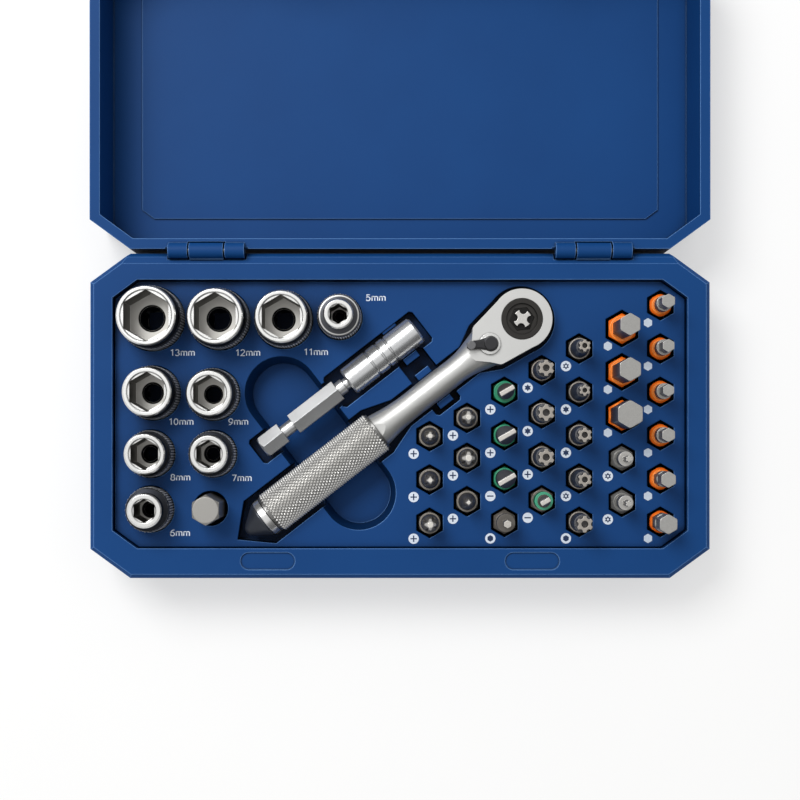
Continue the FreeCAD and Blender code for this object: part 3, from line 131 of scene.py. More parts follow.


# Steel under satin nickel-chrome: blasted before plating, so soft broad highlights, a tight grain that
# breaks them up and painted shade in the creases. The grain is drawn a few times coarser than blasting leaves
# it.
def satinPlatedSteel(name, colour, blendedTone, roughness, grainSize=0.22, grainDepth=0.006, cut=None, metal=0.82):
    look = {"cloud": 7, "edge": 0.16, "crease": 0.6}                  # mm
    material, tree, shader, place = startMaterial(name, {"Metallic": metal})
    cloud = node(tree, "TexNoise", {"Scale": 1 / (look["cloud"] * mm), "Detail": 4.0}, {"Vector": place})
    shade = node(tree, "Mix", {"data_type": "RGBA", 6: linear(colour), 7: linear(blendedTone)},
                 {0: cloud.outputs["Fac"]})
    grain = node(tree, "TexNoise", {"Scale": 1 / (grainSize * mm), "Detail": 3.0}, {"Vector": place})
    rounded = node(tree, "Bevel", {"samples": 4, "Radius": look["edge"] * mm})
    bump = node(tree, "Bump", {"Strength": 0.5, "Distance": grainDepth * mm},
                {"Height": grain.outputs["Fac"], "Normal": rounded.outputs["Normal"]})
    rough = node(tree, "MapRange", {"To Min": roughness - 0.06, "To Max": roughness + 0.08},
                 {"Value": cloud.outputs["Fac"]})
    if cut:                                    # knurl: painted shade darkens the grooves, the peaks keep the full tone
        low, high, grooveShade = cut
        raised = node(tree, "Attribute", {"attribute_name": "raised"})
        paintedLight = node(tree, "MapRange", {"From Min": low, "From Max": high, "To Min": grooveShade, "To Max": 1.0},
                      {"Value": raised.outputs["Fac"]})
    else:                                      # painted shade: turned grooves and corners are darkened
        shelter = node(tree, "AmbientOcclusion", {"samples": 6, "Distance": look["crease"] * mm})
        paintedLight = node(tree, "MapRange", {"From Min": 0.5, "From Max": 0.88, "To Min": 0.3, "To Max": 1.0},
                      {"Value": shelter.outputs["AO"]})
    tone = node(tree, "VectorMath", {"operation": "SCALE"},
                {0: shade.outputs[2], "Scale": paintedLight.outputs["Result"]}).outputs["Vector"]
    tree.links.new(tone, shader.inputs["Base Color"])
    tree.links.new(rough.outputs["Result"], shader.inputs["Roughness"])
    tree.links.new(bump.outputs["Normal"], shader.inputs["Normal"])
    return material


# Chrome-plated socket steel: a bright polished rim over a rougher grey recess floor; the recess walls, a ring
# round the bore and the turned outside below the rim are painted darker as shade.
def platedSocketSteel(name, centre, mouth, boreShadeRadius, ring):
    # painted shade in the wall, side, bore-ring and shoulder-corner tones; painted highlight in the shine tone
    rim, wall, floor = linear("#dededc"), linear("#5a5853"), linear("#bfbdb8")
    side, boreShade = linear("#2b2d32"), linear("#0b0b0c")
    corner, shine = linear("#4a4b4f"), linear("#c9c9c7")
    look = {"rim": 31.08, "underRim": 30.9, "wallFoot": 21.0, "floor": 20.6,    # mm, heights
            "edge": 0.26, "streak": 0.9, "streakDepth": 0.0015}
    material, tree, shader, place = startMaterial(name, {"Metallic": 1.0})
    axes = node(tree, "SeparateXYZ", {}, {"Vector": place})
    flatPlace = node(tree, "CombineXYZ", {}, {"X": axes.outputs["X"], "Y": axes.outputs["Y"]})
    reach = node(tree, "VectorMath", {"operation": "DISTANCE", 1: (centre[0], centre[1], 0)},
                 {0: flatPlace.outputs["Vector"]})
    inner = node(tree, "MapRange", {"From Min": (mouth + 0.14) * mm, "From Max": (mouth + 0.06) * mm},
                 {"Value": reach.outputs["Value"]})
    below = node(tree, "MapRange", {"From Min": look["rim"] * mm, "From Max": look["underRim"] * mm},
                 {"Value": axes.outputs["Z"]})
    bottom = node(tree, "MapRange", {"From Min": look["wallFoot"] * mm, "From Max": look["floor"] * mm},
                  {"Value": axes.outputs["Z"]})
    # painted shade: a dark ring on the recess floor round the bore
    boreShadeMask = node(tree, "MapRange", {"From Min": (boreShadeRadius + 0.1) * mm, "From Max": boreShadeRadius * mm},
                   {"Value": reach.outputs["Value"]})
    ground = node(tree, "Mix", {"data_type": "RGBA", 6: floor, 7: boreShade}, {0: boreShadeMask.outputs["Result"]})
    recess = node(tree, "Mix", {"data_type": "RGBA", 6: wall},
                  {0: bottom.outputs["Result"], 7: ground.outputs[2]})
    outside = node(tree, "Mix", {"data_type": "RGBA", 0: 0.0, 6: side, 7: shine})
    if ring:                                   # wide shoulder: painted shade in its corner, a painted highlight near its edge
        begin = node(tree, "MapRange", {"From Min": (ring[0] - 0.15) * mm, "From Max": ring[0] * mm},
                     {"Value": reach.outputs["Value"]})
        end = node(tree, "MapRange", {"From Min": (ring[1] + 0.1) * mm, "From Max": ring[1] * mm},
                   {"Value": reach.outputs["Value"]})
        bright = node(tree, "Math", {"operation": "MULTIPLY"},
                      {0: begin.outputs["Result"], 1: end.outputs["Result"]})
        outside.inputs[6].default_value = corner
        tree.links.new(bright.outputs["Value"], outside.inputs[0])
    lower = node(tree, "Mix", {"data_type": "RGBA"},
                 {0: inner.outputs["Result"], 6: outside.outputs[2], 7: recess.outputs[2]})
    shade = node(tree, "Mix", {"data_type": "RGBA", 6: rim},
                 {0: below.outputs["Result"], 7: lower.outputs[2]})
    # painted highlight: rounded edges are mixed towards the rim tone
    rounded = node(tree, "Bevel", {"samples": 6, "Radius": look["edge"] * mm})
    straight = node(tree, "NewGeometry")
    turned = node(tree, "VectorMath", {"operation": "DOT_PRODUCT"},
                  {0: rounded.outputs["Normal"], 1: straight.outputs["Normal"]})
    crest = node(tree, "MapRange", {"From Min": 0.97, "From Max": 0.80, "To Max": 0.8},
                 {"Value": turned.outputs["Value"]})
    shade = node(tree, "Mix", {"data_type": "RGBA", 7: rim},
                 {0: crest.outputs["Result"], 6: shade.outputs[2]})
    streak = node(tree, "TexNoise", {"Scale": 1 / (look["streak"] * mm), "Detail": 4.0}, {"Vector": place})
    polish = node(tree, "MapRange", {"To Min": 0.25, "To Max": 0.31}, {"Value": streak.outputs["Fac"]})
    rough = node(tree, "Mix", {"data_type": "FLOAT", 3: 0.46},
                 {0: below.outputs["Result"], 2: polish.outputs["Result"]})
    bump = node(tree, "Bump", {"Strength": 0.3, "Distance": look["streakDepth"] * mm},
                {"Height": streak.outputs["Fac"], "Normal": rounded.outputs["Normal"]})
    tree.links.new(shade.outputs[2], shader.inputs["Base Color"])
    tree.links.new(rough.outputs[0], shader.inputs["Roughness"])
    tree.links.new(bump.outputs["Normal"], shader.inputs["Normal"])
    return material


# Hardened bit steel coloured by height in mm: the bar, its shoulder ring, the worked point and the
# ground tip each have their own tone, edges are painted brighter as a highlight, and a coloured coat is
# lacquer, not metal.
def banded(name, bands, coat, roughness, metal, star=None):
    low, high = bands[0][0], bands[-1][0]
    look = {"grain": 0.3, "grainDepth": 0.004, "edge": 0.28, "waist": 0.17}     # mm; share of an arm
    material, tree, shader, place = startMaterial(name, {})
    axes = node(tree, "SeparateXYZ", {}, {"Vector": place})
    level = node(tree, "MapRange", {"From Min": low * mm, "From Max": high * mm},
                 {"Value": axes.outputs["Z"]})
    tones = node(tree, "ValToRGB", {}, {"Fac": level.outputs["Result"]})
    stops = tones.color_ramp.elements
    while len(stops) < len(bands):
        stops.new(0.5)
    for stop, (height, colour) in zip(stops, bands):
        stop.position = (height - low) / (high - low)
        stop.color = linear(colour)
    grain = node(tree, "TexNoise", {"Scale": 1 / (look["grain"] * mm), "Detail": 4.0}, {"Vector": place})
    fleck = node(tree, "MapRange", {"To Min": 0.80, "To Max": 1.20}, {"Value": grain.outputs["Fac"]})
    shade = node(tree, "VectorMath", {"operation": "SCALE"},
                 {0: tones.outputs["Color"], "Scale": fleck.outputs["Result"]})
    tone = shade.outputs["Vector"]
    if star:                                   # ground wings: a pale four-pointed star on the dark point
        centre, arm, pale = star
        offset = node(tree, "VectorMath", {"operation": "SUBTRACT", 1: (centre.x, centre.y, 0)}, {0: place})
        sides = node(tree, "SeparateXYZ", {}, {"Vector": offset.outputs["Vector"]})
        cross = node(tree, "Math", {"operation": "MULTIPLY"},
                     {0: sides.outputs["X"], 1: sides.outputs["Y"]})
        apart = node(tree, "Math", {"operation": "ABSOLUTE"}, {0: cross.outputs["Value"]})
        flat = node(tree, "CombineXYZ", {}, {"X": sides.outputs["X"], "Y": sides.outputs["Y"]})
        reach = node(tree, "VectorMath", {"operation": "LENGTH"}, {0: flat.outputs["Vector"]})
        narrow = (look["waist"] * arm * arm) * mm * mm
        wing = node(tree, "MapRange", {"From Min": narrow * 1.5, "From Max": narrow * 0.8},
                    {"Value": apart.outputs["Value"]})
        short = node(tree, "MapRange", {"From Min": arm * 1.06 * mm, "From Max": arm * 0.94 * mm},
                     {"Value": reach.outputs["Value"]})
        inStar = node(tree, "Math", {"operation": "MULTIPLY"},
                      {0: wing.outputs["Result"], 1: short.outputs["Result"]})
        tone = node(tree, "Mix", {"data_type": "RGBA", 7: linear(pale)},
                    {0: inStar.outputs["Value"], 6: tone}).outputs[2]
    # painted highlight: edges turned by the bevel are brightened
    rounded = node(tree, "Bevel", {"samples": 6, "Radius": look["edge"] * mm})
    straight = node(tree, "NewGeometry")
    turned = node(tree, "VectorMath", {"operation": "DOT_PRODUCT"},
                  {0: rounded.outputs["Normal"], 1: straight.outputs["Normal"]})
    paintedLight = node(tree, "MapRange", {"From Min": 0.985, "From Max": 0.80, "To Min": 1.0, "To Max": 2.1},
                  {"Value": turned.outputs["Value"]})
    tone = node(tree, "VectorMath", {"operation": "SCALE"},
                {0: tone, "Scale": paintedLight.outputs["Result"]}).outputs["Vector"]
    tree.links.new(tone, shader.inputs["Base Color"])
    if coat:                                   # lacquer between two heights
        above = node(tree, "Math", {"operation": "GREATER_THAN", 1: coat[0] * mm}, {0: axes.outputs["Z"]})
        under = node(tree, "Math", {"operation": "LESS_THAN", 1: coat[1] * mm}, {0: axes.outputs["Z"]})
        coated = node(tree, "Math", {"operation": "MULTIPLY"},
                      {0: above.outputs["Value"], 1: under.outputs["Value"]})
        bare = node(tree, "MapRange", {"To Min": metal, "To Max": 0.0}, {"Value": coated.outputs["Value"]})
        tree.links.new(bare.outputs["Result"], shader.inputs["Metallic"])
    else:
        shader.inputs["Metallic"].default_value = metal
    rough = node(tree, "MapRange", {"To Min": roughness - 0.07, "To Max": roughness + 0.09},
                 {"Value": grain.outputs["Fac"]})
    bump = node(tree, "Bump", {"Strength": 0.4, "Distance": look["grainDepth"] * mm},
                {"Height": grain.outputs["Fac"], "Normal": rounded.outputs["Normal"]})
    tree.links.new(rough.outputs["Result"], shader.inputs["Roughness"])
    tree.links.new(bump.outputs["Normal"], shader.inputs["Normal"])
    return material


# Pad-printing ink: a thin flat film, slightly uneven where the panel's grain shows through.
def padPrintInk(name, colour, thin):
    material, tree, shader, place = startMaterial(name, {"IOR": 1.5, "Specular IOR Level": 0.3})
    mottle = 0.5                               # mm
    patch = node(tree, "TexNoise", {"Scale": 1 / (mottle * mm), "Detail": 3.0}, {"Vector": place})
    shade = node(tree, "Mix", {"data_type": "RGBA", 6: linear(colour), 7: linear(thin)},
                 {0: patch.outputs["Fac"]})
    rough = node(tree, "MapRange", {"To Min": 0.42, "To Max": 0.62}, {"Value": patch.outputs["Fac"]})
    tree.links.new(shade.outputs[2], shader.inputs["Base Color"])
    tree.links.new(rough.outputs["Result"], shader.inputs["Roughness"])
    return material


boxBlue = mouldedPolypropylene("mouldedPolypropyleneBox", "#10447f", "#0d3d75", "#6d9ad4", 0.50)
insertBlue = mouldedPolypropylene("mouldedPolypropyleneInsert", "#11437e", "#0e3d75", "#6695d2", 0.47, 0.4)
latchBlue = mouldedPolypropylene("mouldedPolypropyleneLatch", "#10427c", "#0d3b72", "#5f8cc8", 0.48)
satinSteel = satinPlatedSteel("satinChromeSteel", "#cdcdcb", "#bfbfbd", 0.42, 0.28, 0.012)
shankSteel = satinPlatedSteel("groundHexShank", "#d9dadb", "#cecfd0", 0.30)
sleeveSteel = satinPlatedSteel("turnedSleeveSteel", "#cfd0d1", "#c4c5c6", 0.25, 0.22, 0.0006)
gripSteel = satinPlatedSteel("knurledChromeSteel", "#f2f1ee", "#e8e7e4", 0.34, 0.3, 0.002,
                             (0.02, 0.5, 0.22))
collarSteel = satinPlatedSteel("brightTurnedSteel", "#dededd", "#d0d0cf", 0.24)
pinSteel = satinPlatedSteel("drawnWireSteel", "#b6b6b4", "#a2a2a0", 0.30)
blackSteel = satinPlatedSteel("blackOxideSteel", "#3a3836", "#2c2b29", 0.36)
magnetSteel = satinPlatedSteel("groundMagnet", "#6d6d6f", "#5c5c5e", 0.38)
capBlack = satinPlatedSteel("blackenedCap", "#3c4048", "#30333a", 0.33, 0.22, 0.003, None, 0.35)
skirtSteel = satinPlatedSteel("knurledSkirtSteel", "#f2f3f5", "#e2e3e6", 0.34, 0.3, 0.002,
                              (0.36, 0.82, 0.03), 0.2)

adapterSteel = banded("satinHexBar", [
    (5.0, "#74726e"), (29.5, "#8d8b87"), (31.3, "#9c9a96"), (31.5, "#9c9a96")], None, 0.42, 0.7)
leverSteel = banded("twoToneLever", [
    (15.0, "#c6c6c4"), (25.88, "#cdcdcb"), (25.93, "#2c2c2e"), (27.15, "#333335"),
    (27.24, "#68686a"), (27.4, "#707072")], None, 0.36, 0.7)
driveSteel = banded("groundDriveBit", [
    (5.0, "#2a2927"), (24.6, "#1d1c1b"), (25.2, "#4a4845"), (25.42, "#c4c2be"), (25.6, "#c4c2be")],
    None, 0.38, 0.8)
crossBands = [
    (5.0, "#2b2926"), (19.90, "#2b2926"), (19.95, "#837d75"), (20.04, "#7a756d"),
    (20.10, "#3f3c39"), (27.0, "#45423f"), (30.6, "#66625c")]
lobeSteel = banded("phosphatedLobeBit", [
    (5.0, "#2b2926"), (19.86, "#2b2926"), (19.92, "#9a938b"), (20.04, "#8b857d"),
    (20.10, "#3c3e44"), (28.2, "#46484d"), (31.9, "#77726d"), (32.35, "#9d978f"), (32.6, "#9d978f")],
    None, 0.44, 0.4)
fineSteel = banded("greyFineBit", [
    (5.0, "#6c6b69"), (18.8, "#7b7a78"), (20.02, "#8b8a87"), (20.1, "#4c4b49"), (23.0, "#6f6e6b"),
    (26.6, "#a4a29e"), (26.82, "#b5b3af"), (26.9, "#5b5956"), (32.2, "#7d7b77"), (32.6, "#c2c0bb")],
    None, 0.40, 0.6)
greyKeySteel = banded("phosphatedKeyBit", [
    (5.0, "#5c5853"), (19.3, "#6b6660"), (20.02, "#78726b"), (20.1, "#4c4946"), (25.8, "#5a5651"),
    (26.06, "#5f5b56"), (32.0, "#8a8680"), (32.6, "#c4c0b9")],
    None, 0.42, 0.4)
greenSteel = banded("greenCoatedBit", [
    (5.0, "#56534f"), (12.9, "#56534f"), (13.0, "#07402a"), (19.80, "#07402a"), (19.86, "#259570"),
    (20.05, "#19805a"), (20.1, "#4d4a46"), (29.7, "#5f5b56"), (30.4, "#cac6c0"), (30.6, "#cac6c0")],
    (13.0, 20.06), 0.38, 0.55)
greenNeckSteel = banded("greenNeckedBit", [
    (5.0, "#6a645f"), (20.05, "#6f6963"), (20.2, "#10784f"), (25.2, "#10784f"), (25.5, "#35b087"),
    (25.58, "#2aa077"), (25.62, "#4b4845"), (29.7, "#6f6b66"), (30.4, "#cac6c0"), (30.6, "#cac6c0")],
    (20.2, 25.6), 0.38, 0.55)
# painted shade darkens the coat's lowest band, and painted light brightens the coat towards its top face
orangeSteel = banded("orangeCoatedBit", [
    (5.0, "#4b4a48"), (19.18, "#33261d"), (19.30, "#ee650c"), (19.6, "#f56d10"), (20.0, "#fc8b2e"),
    (20.06, "#fc8b2e"), (20.1, "#5b5a58"), (25.6, "#8d8c89"), (25.98, "#b5b4b1"), (26.05, "#7b7a77"),
    (32.2, "#8f8e8b"), (32.6, "#a6a5a2")],
    (19.2, 20.06), 0.36, 0.6)
# painted shade darkens the coat's lowest band, and painted light brightens the coat towards its top face
largeSteel = banded("orangeCoatedLargeBit", [
    (5.0, "#4b4a48"), (19.10, "#33261d"), (19.22, "#ee650c"), (19.6, "#f56d10"), (20.0, "#fc8b2e"),
    (20.06, "#fc8b2e"), (20.1, "#45433f"), (30.0, "#5d5b58"), (34.6, "#83817e"), (35.1, "#a6a5a2")],
    (19.12, 20.06), 0.36, 0.6)
inkPale = padPrintInk("padPrintInkPale", "#f2f8ff", "#e2edfb")
inkWhite = padPrintInk("padPrintInkWhite", "#e4ebf5", "#d1dceb")
inkGrey = padPrintInk("padPrintInkGrey", "#d2dce8", "#bcc9da")
inkDark = padPrintInk("padPrintInkDark", "#16294a", "#1d355e")
print("materials made:", len(bpy.data.materials))

finishes = {
    "base_shell": boxBlue, "lid_shell": boxBlue, "tool_insert": insertBlue,
    "left_latch": latchBlue, "right_latch": latchBlue, "hinge_pins": pinSteel, "latch_pins": pinSteel,
    "ratchet_body": satinSteel, "knurled_grip": satinSteel, "end_collar": collarSteel, "end_cap": capBlack,
    "drive_gear": blackSteel, "retaining_ring": blackSteel, "reversing_lever": leverSteel,
    "pawl": pinSteel, "pawl_spring": pinSteel, "drive_bit": driveSteel, "holder_shank": shankSteel,
    "holder_sleeve": sleeveSteel, "holder_magnet": magnetSteel, "drive_adapter": adapterSteel,
    "hex_bit_1": greyKeySteel, "slotted_bit_4": greenNeckSteel,
    "six_lobe_bit_9": fineSteel, "six_lobe_bit_10": fineSteel,
}
families = {"slotted_bit": greenSteel, "six_lobe_bit": lobeSteel,
            "large_hex_bit": largeSteel, "hex_bit": orangeSteel}


def middleOf(name):                            # centre of a solid's box, in metres
    low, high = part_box(name)
    return (low + high) / 2


def dress(item, material):
    item.data.materials.clear()
    item.data.materials.append(material)


crossArms = (1.2, 1.1, 1.65, 1.75, 1.85, 0.85)
for i, arm in enumerate(crossArms):            # mm from the middle to a wing's end
    name = "cross_bit_" + str(i + 1)
    finishes[name] = banded("phosphatedCrossBit" + str(i + 1), crossBands, None, 0.46, 0.2,
                            (middleOf(name), arm, "#d2cec7"))
socketSizes = (5, 6, 7, 8, 9, 10, 11, 12, 13)
# mm, how far the painted shade round the bore reaches on the recess floor, and the painted bright ring of a
# wide shoulder
boreShadeReach = {5: 2.2, 6: 2.5, 7: 2.7, 8: 2.8, 9: 2.8, 10: 3.2, 11: 3.5, 12: 3.75, 13: 4.0}
shoulderRing = {5: (5.58, 5.8)}
for flats in socketSizes:
    name = "socket_" + str(flats)
    finishes[name] = platedSocketSteel("chromePlatedSocket" + str(flats), middleOf(name),
                                       flats / math.sqrt(3), boreShadeReach[flats], shoulderRing.get(flats))
for name, item in nodes.items():
    family = [finish for word, finish in families.items() if name.startswith(word)]
    dress(item, finishes.get(name) or family[0])
print("finishes on:", len(nodes), "solids")


def addPiece(name, points, faces, material, body, place=Matrix(), peaks=()):
    mesh = bpy.data.meshes.new(name)
    mesh.from_pydata([place @ Vector(point) for point in points], [], faces)
    mesh.validate()
    mesh.materials.append(material)
    if peaks:                                  # 1 on a knurl's peaks, 0 in its grooves
        raised = mesh.attributes.new("raised", "FLOAT", "POINT")
        for k in peaks:
            raised.data[k].value = 1.0
    piece = bpy.data.objects.new(name, mesh)
    scene.collection.objects.link(piece)
    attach(piece, body)
    return piece


def closeRing(points, faces, ring, radius, height, low):   # a plain ring next to the last one
    around = len(ring)
    fresh = []
    for i in range(around):
        angle = 2 * math.pi * i / around
        fresh.append(len(points))
        points.append((radius * mm * math.cos(angle), radius * mm * math.sin(angle), height * mm))
    for i in range(around):
        k = (i + 1) % around
        quad = (ring[i], fresh[i], fresh[k], ring[k])
        faces.append(quad if low else quad[::-1])
    return fresh


# Diamond knurl round +Z: crossing grooves leave a four-sided peak in every cell.
def knurlTube(knurl):
    columns, rows = knurl["columns"], knurl["rows"]
    around = 2 * columns
    points, faces, index, peaks = [], [], {}, []

    def at(i, j):
        key = (i % around, j)
        if key not in index:
            onEdge = j in (0, 2 * rows)
            peak = (i + j) % 2 == 1 and not onEdge
            radius = (knurl["peak"] if peak else knurl["groove"]) * mm
            angle = math.pi * key[0] / columns
            height = knurl["low"] + (knurl["high"] - knurl["low"]) * j / (2 * rows)
            index[key] = len(points)
            if peak:
                peaks.append(len(points))
            points.append((radius * math.cos(angle), radius * math.sin(angle), height * mm))
        return index[key]

    for j in range(2 * rows + 1):
        for i in range(around):
            if (i + j) % 2 == 0:
                continue
            centre, left, right = at(i, j), at(i - 1, j), at(i + 1, j)
            if j > 0:
                faces.extend([(centre, left, at(i, j - 1)), (centre, at(i, j - 1), right)])
            if j < 2 * rows:
                faces.extend([(centre, right, at(i, j + 1)), (centre, at(i, j + 1), left)])
    lowRing = [at(i, 0) for i in range(around)]
    highRing = [at(i, 2 * rows) for i in range(around)]
    for radius, height in ((knurl["edgeLow"], knurl["foot"]), (knurl["bore"], knurl["foot"])):
        lowRing = closeRing(points, faces, lowRing, radius, height, True)
    for radius, height in ((knurl["edgeHigh"], knurl["top"]), (knurl["bore"], knurl["top"])):
        highRing = closeRing(points, faces, highRing, radius, height, False)
    for i in range(around):
        k = (i + 1) % around
        faces.append((lowRing[i], highRing[i], highRing[k], lowRing[k]))
    return points, faces, peaks


# Ratchet grip, along the tool's own line: mm from the drive's axis
tool = {"head": (35.8, 28.3), "axis": 20.1, "angle": 37.75}
gripKnurl = {"columns": 34, "rows": 28, "peak": 6.5, "groove": 5.98, "bore": 4.03,
             "foot": -93.9, "low": -93.5, "high": -53.9, "top": -53.5, "edgeLow": 6.0, "edgeHigh": 6.0}
turn = math.radians(tool["angle"])
along = Vector((math.cos(turn), math.sin(turn), 0))
aside = Vector((-math.sin(turn), math.cos(turn), 0))
toolPlace = Matrix.Translation((tool["head"][0] * mm, tool["head"][1] * mm, tool["axis"] * mm))
toolPlace = toolPlace @ Matrix((aside, Vector((0, 0, 1)), along)).transposed().to_4x4()
points, faces, peaks = knurlTube(gripKnurl)
grip = addPiece("gripKnurl", points, faces, gripSteel, "ratchet", toolPlace, peaks)
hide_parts("knurled_grip")
print("grip knurl:", len(grip.data.polygons), "faces")

# Socket skirts: the same knurl as a thin band around each socket's lower half
skirt = {"pitch": 1.55, "stand": 0.38, "seat": 13.0, "foot": 0.7, "top": 19.8,
         "groove": 0.03, "wall": 0.2, "lead": 0.3, "edge": 0.02}
bandRadius = {5: 6.1, 6: 6.3, 7: 6.4, 8: 6.5, 9: 7.2, 10: 7.5, 11: 8.0, 12: 8.5, 13: 9.0}
socketFoot = panelTop - skirt["seat"]
for flats in socketSizes:
    radius = bandRadius[flats]
    low, high = socketFoot + skirt["foot"], socketFoot + skirt["top"]
    band = {"columns": round(2 * math.pi * radius / skirt["pitch"]),
            "rows": round((high - low) / skirt["pitch"]),
            "peak": radius + skirt["stand"], "groove": radius + skirt["groove"],
            "bore": radius - skirt["wall"], "foot": low, "low": low + skirt["lead"],
            "high": high - skirt["lead"], "top": high,
            "edgeLow": radius + skirt["edge"], "edgeHigh": radius + skirt["edge"]}
    middle = middleOf("socket_" + str(flats))
    points, faces, peaks = knurlTube(band)
    addPiece("socketSkirt" + str(flats), points, faces, skirtSteel, "socket_" + str(flats),
             Matrix.Translation((middle.x, middle.y, 0)), peaks)
print("socket skirts:", len(socketSizes))

# Sizes printed beside the sockets
sizeMarks = {"height": 2.1, "width": 7.2, "stroke": 0.14, "level": panelTop + 0.02, "places": {
    13: (-64.5, 18.9), 12: (-45.1, 18.9), 11: (-24.9, 19.1), 10: (-64.9, -1.6), 9: (-48.0, -1.6),
    8: (-65.2, -18.1), 7: (-46.9, -18.3), 6: (-65.3, -34.6), 5: (-7.2, 35.2)}}


def arc(cx, cy, rx, ry, begin, end, count=22):
    path = []
    for i in range(count + 1):
        angle = math.radians(begin + (end - begin) * i / count)
        path.append((cx + rx * math.cos(angle), cy + ry * math.sin(angle)))
    return path


six = [arc(0.30, 0.31, 0.26, 0.31, 0, 360), arc(0.52, 0.36, 0.48, 0.64, 186, 86)]
glyphs = {                                     # centre lines of plain upright figures, one unit high
    "0": [arc(0.30, 0.5, 0.26, 0.5, 0, 360)],
    "1": [[(0.10, 0.80), (0.34, 1.0), (0.34, 0.0)]],
    "2": [arc(0.30, 0.72, 0.25, 0.28, 165, -38) + [(0.05, 0.0), (0.57, 0.0)]],
    "3": [arc(0.28, 0.755, 0.23, 0.245, 155, -90), arc(0.28, 0.255, 0.27, 0.255, 90, -155)],
    "5": [[(0.52, 1.0), (0.13, 1.0), (0.07, 0.50)] + arc(0.28, 0.325, 0.27, 0.325, 140, -152)],
    "6": six,
    "7": [[(0.04, 1.0), (0.56, 1.0), (0.22, 0.0)]],
    "8": [arc(0.30, 0.755, 0.21, 0.245, 0, 360), arc(0.30, 0.26, 0.26, 0.26, 0, 360)],
    "9": [[(0.60 - x, 1 - y) for x, y in path] for path in six],
    "m": [[(0.06, 0.0), (0.06, 0.74)], arc(0.25, 0.52, 0.19, 0.21, 180, 0) + [(0.44, 0.0)],
          arc(0.63, 0.52, 0.19, 0.21, 180, 0) + [(0.82, 0.0)]],
}
advance = {"m": 1.02, "1": 0.68, "other": 0.76}


def strokePath(path, thick):                   # a flat ribbon along one centre line
    points, faces = [], []
    closed = math.dist(path[0], path[-1]) < 0.001
    for i, (x, y) in enumerate(path):
        before = path[-2] if closed and i == 0 else path[max(i - 1, 0)]
        after = path[1] if closed and i == len(path) - 1 else path[min(i + 1, len(path) - 1)]
        legs = []
        for tail, head in ((before, (x, y)), ((x, y), after)):
            length = math.dist(tail, head)
            if length > 0.001:
                legs.append(Vector((-(head[1] - tail[1]) / length, (head[0] - tail[0]) / length)))
        side = sum(legs, Vector((0, 0))).normalized()
        side *= min(thick / 2 / max(side.dot(legs[0]), 0.3), thick)
        points.extend([(x + side.x, y + side.y), (x - side.x, y - side.y)])
        if i:
            faces.append((2 * i - 2, 2 * i - 1, 2 * i + 1, 2 * i))
    return points, faces


def wordMesh(text):
    corners, faces, pen = [], [], 0.0
    for letter in text:
        for path in glyphs[letter]:
            start = len(corners)
            ribbon, quads = strokePath(path, sizeMarks["stroke"])
            corners.extend([Vector((pen + x, y)) for x, y in ribbon])
            faces.extend([tuple(start + k for k in quad) for quad in quads])
        pen += advance.get(letter, advance["other"])
    return corners, faces


def spanOf(corners, axis):
    values = [corner[axis] for corner in corners]
    return min(values), max(values)


points, faces = [], []
model = wordMesh("13mm")[0]                    # the longest word sets the scale
left, right = spanOf(model, 0)
bottom, top = spanOf(model, 1)
scaleX = sizeMarks["width"] / (right - left)
scaleY = sizeMarks["height"] / (top - bottom)
for flats, (x, y) in sizeMarks["places"].items():
    corners, letters = wordMesh(str(flats) + "mm")
    left, right = spanOf(corners, 0)
    start = len(points)
    for corner in corners:
        points.append(((x + (corner.x - (left + right) / 2) * scaleX) * mm,
                       (y + (corner.y - (top - bottom) / 2) * scaleY) * mm, sizeMarks["level"] * mm))
    faces.extend([tuple(start + k for k in face) for face in letters])
addPiece("sizeMarks", points, faces, inkPale, "base")
print("size marks:", len(sizeMarks["places"]))

# Printed signs below each bit: a white dot with the drive's sign, or a pale hexagon; mm
signs = {"offset": (-4.2, -5.2), "level": panelTop + 0.02, "ink": panelTop + 0.04, "film": 0.005,
         "dot": 1.53, "hexagon": 1.40, "bar": (1.9, 0.36), "star": (1.05, 0.62), "eye": 0.34, "nut": 0.95,
         "kinds": {"plus": "cross_bit_1 cross_bit_2 cross_bit_3 cross_bit_4 cross_bit_5 cross_bit_6 "
                           "slotted_bit_1 slotted_bit_2 six_lobe_bit_3",
                   "minus": "slotted_bit_3 slotted_bit_4",
                   "star": "six_lobe_bit_1 six_lobe_bit_2 six_lobe_bit_5 six_lobe_bit_6",
                   "ringStar": "six_lobe_bit_4 six_lobe_bit_7 six_lobe_bit_9 six_lobe_bit_10",
                   "nut": "hex_bit_1 six_lobe_bit_8",
                   "hexagon": "large_hex_bit_1 large_hex_bit_2 large_hex_bit_3 "
                              "hex_bit_2 hex_bit_3 hex_bit_4 hex_bit_5 hex_bit_6 hex_bit_7"},
         "aside": {"cross_bit_1": -0.55, "cross_bit_2": -0.55, "cross_bit_3": -0.55,
                   "six_lobe_bit_4": 0.25, "six_lobe_bit_5": 0.25, "six_lobe_bit_6": 0.25,
                   "six_lobe_bit_7": 0.25, "six_lobe_bit_8": 0.25, "hex_bit_2": 0.5, "hex_bit_3": 0.5,
                   "hex_bit_4": 0.5, "hex_bit_5": 0.5, "hex_bit_6": 0.5, "hex_bit_7": 0.5},
         "raised": {"cross_bit_3": 0.5, "hex_bit_1": 0.3, "six_lobe_bit_8": 0.3, "hex_bit_7": 0.3}}


def addShape(points, faces, centre, outline, level):
    start = len(points)
    for x, y in outline:
        points.append(((centre[0] + x) * mm, (centre[1] + y) * mm, level * mm))
    faces.append(tuple(range(start, start + len(outline))))


def roundShape(radius, count, turnBy=0.0, dip=None):
    shape = []
    for i in range(count):
        angle = turnBy + 2 * math.pi * i / count
        reach = dip if dip and i % 2 else radius
        shape.append((reach * math.cos(angle), reach * math.sin(angle)))
    return shape


def bar(length, width):
    x, y = length / 2, width / 2
    return [(-x, -y), (x, -y), (x, y), (-x, y)]


